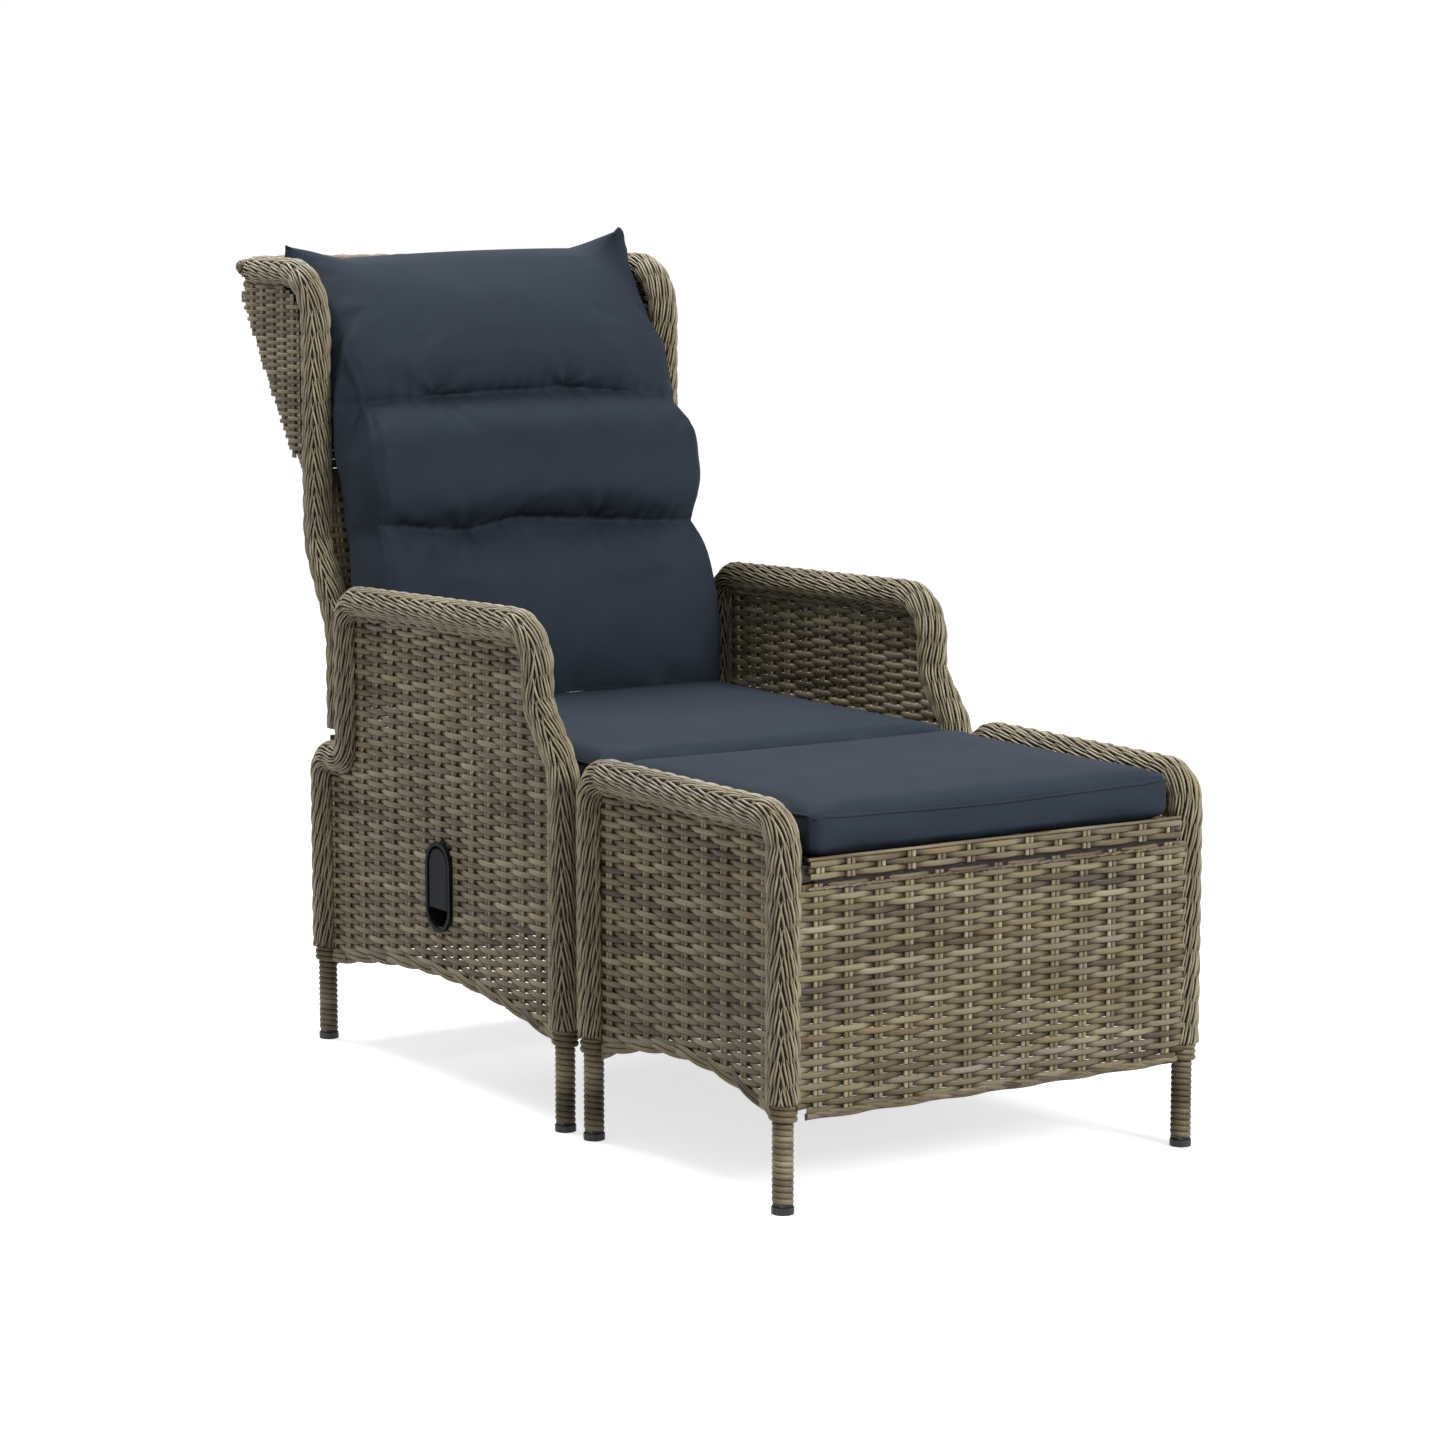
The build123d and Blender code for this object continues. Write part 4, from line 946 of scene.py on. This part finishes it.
# Each fold: its middle (x, z), slope, width, length and depth.
folds = ((-0.2, 0.67, -0.9, 0.008, 0.04, 0.004), (-0.185, 0.62, 1.4, 0.009, 0.05, 0.004),
         (-0.205, 0.555, 0.6, 0.01, 0.05, 0.0045), (-0.19, 0.515, -0.5, 0.009, 0.045, 0.0035),
         (0.205, 0.79, 1.1, 0.008, 0.035, 0.004), (0.2, 0.63, 1.0, 0.008, 0.035, 0.004),
         (-0.02, 0.7, 0.5, 0.01, 0.035, -0.003), (0.15, 0.9, -0.4, 0.02, 0.09, -0.003),
         (-0.09, 0.76, 0.2, 0.02, 0.08, 0.0025), (0.1, 0.58, 0.3, 0.02, 0.09, 0.0028))
# Each corner: its place, width and height, how far it leans out, and how far back it stands.
ears = [(-0.238, 0.065, 0.034, -0.022, 0.55), (0.205, 0.042, 0.032, 0.0, 0.475)]


def bump_up(distance, width):
    """A soft hill of height one."""
    return np.exp(-(distance / width) ** 2)


def gather(piece, seams):
    """Pull a pillow in along its seams, pucker the cloth beside them and raise its corners."""
    co = points_of(piece)
    facing = np.clip(-normals_of(piece)[:, 1] * 1.6, 0, 1)
    x, z = co[:, 0].copy(), co[:, 2].copy()
    inward = np.zeros(len(co))
    for number, seam in enumerate(seams):
        seam_x, seam_z = np.array(seam).T
        off = z - np.interp(x, seam_x, seam_z)
        away = np.abs(off)
        side = np.minimum(np.abs(x / 0.23), 1) ** 5
        inward += 0.014 * (1 - side) * np.exp(-away / 0.024)
        inward += ((0.017 - 0.011 * side) * np.exp(-away / 0.007)
                   - (0.026 - 0.01 * number) * side * bump_up(off, 0.035))
        inward -= 0.006 * bump_up(off - 0.045, 0.03) + 0.005 * bump_up(off + 0.04, 0.028)
        wave = np.sin(x * 262 + 2.2 * np.sin(x * 31 + number) + number * 1.7)
        fine = np.sin(x * 430 + 1.9 * np.sin(x * 47 + 2 * number))
        inward += (0.0019 * wave + 0.0009 * fine) * np.exp(-away / 0.021)
        for place in pinches[number]:
            level = np.interp(place, seam_x, seam_z)
            inward += 0.007 * bump_up(x - place, 0.017) * np.exp(-away / 0.013)
            swing = np.arctan2(z - level, x - place)
            apart = np.hypot(x - place, z - level)
            inward += (0.0034 * np.cos(swing * 7 + number) * np.exp(-apart / 0.04)
                       * np.minimum(apart / 0.008, 1))
            rise = np.clip(z - level, 0, 0.045)
            crease = x - place - rise * 0.35
            inward += 0.0035 * bump_up(crease, 0.0055) * (z > level) * (1 - rise / 0.045)
    for place_x, place_z, slope, width, length, depth in folds:
        run = np.array((1, slope)) / math.hypot(1, slope)
        along = (x - place_x) * run[0] + (z - place_z) * run[1]
        cross = (z - place_z) * run[0] - (x - place_x) * run[1]
        inward += depth * bump_up(cross, width) * bump_up(along, length)
    co[:, 1] += inward * facing
    roll_front = np.interp(z, (0.532, 0.636), (0.378, 0.436))
    bulge = np.clip((roll_front - co[:, 1]) / 0.016, 0, 1)
    edge = np.minimum(np.abs(x / 0.236), 1) ** 3
    co[:, 0] *= 1 + (0.032 + 0.072 * bulge) * edge
    low = np.clip((0.54 - z) / 0.08, 0, 1) ** 1.5
    co[:, 2] = np.maximum(z - 0.03 * low, np.minimum(z, 0.443))
    co[:, 2] += (0.004 + 0.006 * x / 0.238) * np.clip((z - 0.9) / 0.1, 0, 1)
    for place, width, height, lean, back in ears:
        near = np.clip(1 - np.abs(x - place) / width, 0, 1) ** 1.6 * np.clip((z - 0.94) / 0.055, 0, 1) ** 1.4
        co[:, 2] += height * near
        co[:, 0] += lean * near
        co[:, 1] += (back - co[:, 1]) * np.minimum(near * 1.2, 0.9)
    put_points(piece, co)


gather(back_piece, [top_seam, low_seam])
belong(back_piece, "backrest", "back_cushion")

# Borders of the panels.
# Two strands are twisted along the free lower edge of each panel, and a thinner pair covers the
# line where a side panel meets its roll.
# Each rope: width and thickness of its strands, how far they swing out, and the length of a turn.
arch_rope, seam_rope = (0.0064, 0.0042, 0.0032, 0.11), (0.0048, 0.0026, 0.0022, 0.052)


def twisted_tree():
    """Strands twisted or laid along each line of the mesh."""
    net, given = new_net("twisted_border", "Width, Thickness, Twist Radius, Twist Length, Step, Seed",
                         Face="Vector", Cane="Material")
    line = net.geo("MeshToCurve", Mesh=given["Geometry"])
    line = net.geo("ResampleCurve", Curve=line, Length=given["Step"], mode="LENGTH")
    length = net.geo("SplineParameter")["Length"]
    across = net.geo("InputTangent").vector("CROSS_PRODUCT", given["Face"])
    at = position(net)
    place = at["X"] * 3.1 + at["Z"] * 2.3
    section = cane_section(net, given["Width"], given["Thickness"])
    plies = []
    for ply in (0.0, math.pi):
        swing = length / given["Twist Length"] * (2 * math.pi) + ply
        away = given["Face"].times(swing.do("COSINE")).vector("ADD", across.times(swing.do("SINE")))
        strand = strand_tones(net, line, length * 6.0, place + ply * 5.0, given["Seed"])
        strand = net.geo("SetPosition", Geometry=strand, Offset=away.times(given["Twist Radius"]))
        strand = net.geo("SetCurveNormal", Curve=strand, Normal=given["Face"], mode="FREE")
        plies.append(sweep(net, strand, section))
    return net.give(dress(net, realize(net, plies), given["Cane"]))


twisted_border = twisted_tree()


def border(name, body, lines, face, seed, rope):
    """Twist two strands along each of these lines."""
    width, thickness, twist, twist_length = rope
    piece = run_tree(name, line_mesh(name, *lines), twisted_border, Width=width, Thickness=thickness,
                     Twist_Radius=twist, Twist_Length=twist_length, Step=0.006, Face=face, Seed=seed,
                     Cane=cane)
    belong(piece, body)


def arch(x, front, rear, lift):
    """The arched lower edge of a side panel, a little above its cut ends."""
    half, rise = (rear - front) / 2 - 0.02, 0.032
    radius = (half * half + rise * rise) / (2 * rise)
    spans = [half * (step / 20 - 1) for step in range(41)]
    level = 0.136 + lift - radius
    return [(x, (front + rear) / 2 + y, level + math.sqrt(radius * radius - y * y)) for y in spans]


def inset(line, amount):
    """A line of (y, z) places moved sideways, into the frame that it runs round."""
    moved = []
    for index, place in enumerate(line):
        run = complex(*line[min(index + 1, len(line) - 1)]) - complex(*line[max(index - 1, 0)])
        spot = complex(*place) - run / abs(run) * 1j * amount
        moved.append((spot.real, spot.imag))
    return moved


for owner, body, x, front, rear, line in (
        ("side", "chair_base", side_x, leg_front, leg_rear, arm_line),
        ("stool_side", "footstool", stool_side_x, stool_front, stool_rear, stool_line)):
    arches = [arch(side * x, front, rear, lift) for side in (-1, 1) for lift in (0.001, 0.007)]
    border(owner + "_arches", body, arches, x_axis, 43.0, arch_rope)
    seam = inset(line, 0.0188)
    for hand, side in hands:
        lines = [[(side * (x + face * 0.0052), y, z) for y, z in seam] for face in (-1, 1)]
        border(f"{owner}_seam_{hand}", body, lines, x_axis, 45.0 + side, seam_rope)

# Wound rails under the seats.
# Cane is woven over each cross tube in a narrow band of a few rows. One thin strand is laid along
# its top edge, and a finely twisted one under it.
seat_rail_x, stool_rail_x = 0.2627, 0.2557
top_rope, foot_rope = (0.0036, 0.0036, 0.0004, 0.3), (0.0024, 0.0024, 0.0011, 0.009)
hem_rope = (0.0056, 0.0042, 0.0013, 0.05)
top_level, foot_level, hem_level = 0.3868, 0.3548, 0.1075


def join_meshes(name, meshes):
    """One object from several meshes, with their materials and named tones kept."""
    made = [stand(f"{name}_{index}", mesh) for index, mesh in enumerate(meshes)]
    bpy.ops.object.select_all(action="DESELECT")
    for piece in made:
        piece.select_set(True)
    bpy.context.view_layer.objects.active = made[0]
    bpy.ops.object.join()
    made[0].name = name
    return made[0]


def rail_band(node, body, x, rails, seed):
    """A woven band on the outer face of each wound rail, over a near-black core that stands for the shade
    behind the weave.
    """
    low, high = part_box(node)
    meshes = []
    for y, out in rails:
        shade_core = bpy.data.meshes.new(node)
        block = bmesh.new()
        bmesh.ops.create_cube(block, size=1)
        inner, outer = y - out * 0.0118, y + out * 0.0122
        size = Matrix.Diagonal((2 * x - 0.024, abs(outer - inner), high.z - low.z, 1))
        place = Matrix.Translation((0, (inner + outer) / 2, (low.z + high.z) / 2))
        bmesh.ops.transform(block, matrix=place @ size, verts=block.verts)
        block.to_mesh(shade_core)
        block.free()
        # The core's near-black finish is painted shade.
        shade_core.materials.append(plait_shade_core)
        foot, head = low.z + 0.0115, low.z + 0.0302
        strip = bpy.data.meshes.new(node)
        strip.from_pydata([(-x, 0, foot), (x, 0, foot), (x, 0, head), (-x, 0, head)], [], [(0, 1, 2, 3)])
        turn = Matrix.Translation((0, y + out * 0.0163, 0))
        woven = run_tree(node, strip, woven_panel, turn, Row_Pitch=row_pitch, Stake_Pitch=stake_pitch,
                         Stake_Gap=0.006, Strand_Width=0.0072, Stake_Width=0.0058,
                         Thickness=strand_thickness, Depth=0.0022, Step=row_pitch, Reach=0.004, Lip=0.0,
                         Bare_Below=-1.0, Hole=no_hole, Hole_Radius=0.01, Seed=seed, Cane=cane)
        meshes += [shade_core, woven.data]
        bpy.data.objects.remove(woven)
    belong(join_meshes(node + "_band", meshes), body, node)


for node, body, x, rails, seed in (
        ("front_rail_wrap", "chair_base", seat_rail_x, [(leg_front, -1)], 47.0),
        ("stool_rail_wraps", "footstool", stool_rail_x, [(stool_front, -1), (stool_rear, 1)], 48.0)):
    rail_band(node, body, x, rails, seed)
    faces = [y + out * 0.0165 for y, out in rails]
    for name, level, rope, step in (("_top_strand", top_level, top_rope, 2),
                                    ("_foot_strand", foot_level, foot_rope, 4)):
        border(node + name, body, [[(-x, y, level), (x, y, level)] for y in faces], y_axis, seed + step, rope)

for name, body, x, y, out in (("front", "chair_base", seat_rail_x, leg_front, -1),
                              ("rear", "chair_base", seat_rail_x, leg_rear, 1),
                              ("stool_front", "footstool", stool_rail_x, stool_front, -1),
                              ("stool_rear", "footstool", stool_rail_x, stool_rear, 1)):
    edge = y + out * 0.0145
    line = [(-x, edge, hem_level), (x, edge, hem_level)]
    border(name + "_foot_border", body, [line], y_axis, 51.0, hem_rope)
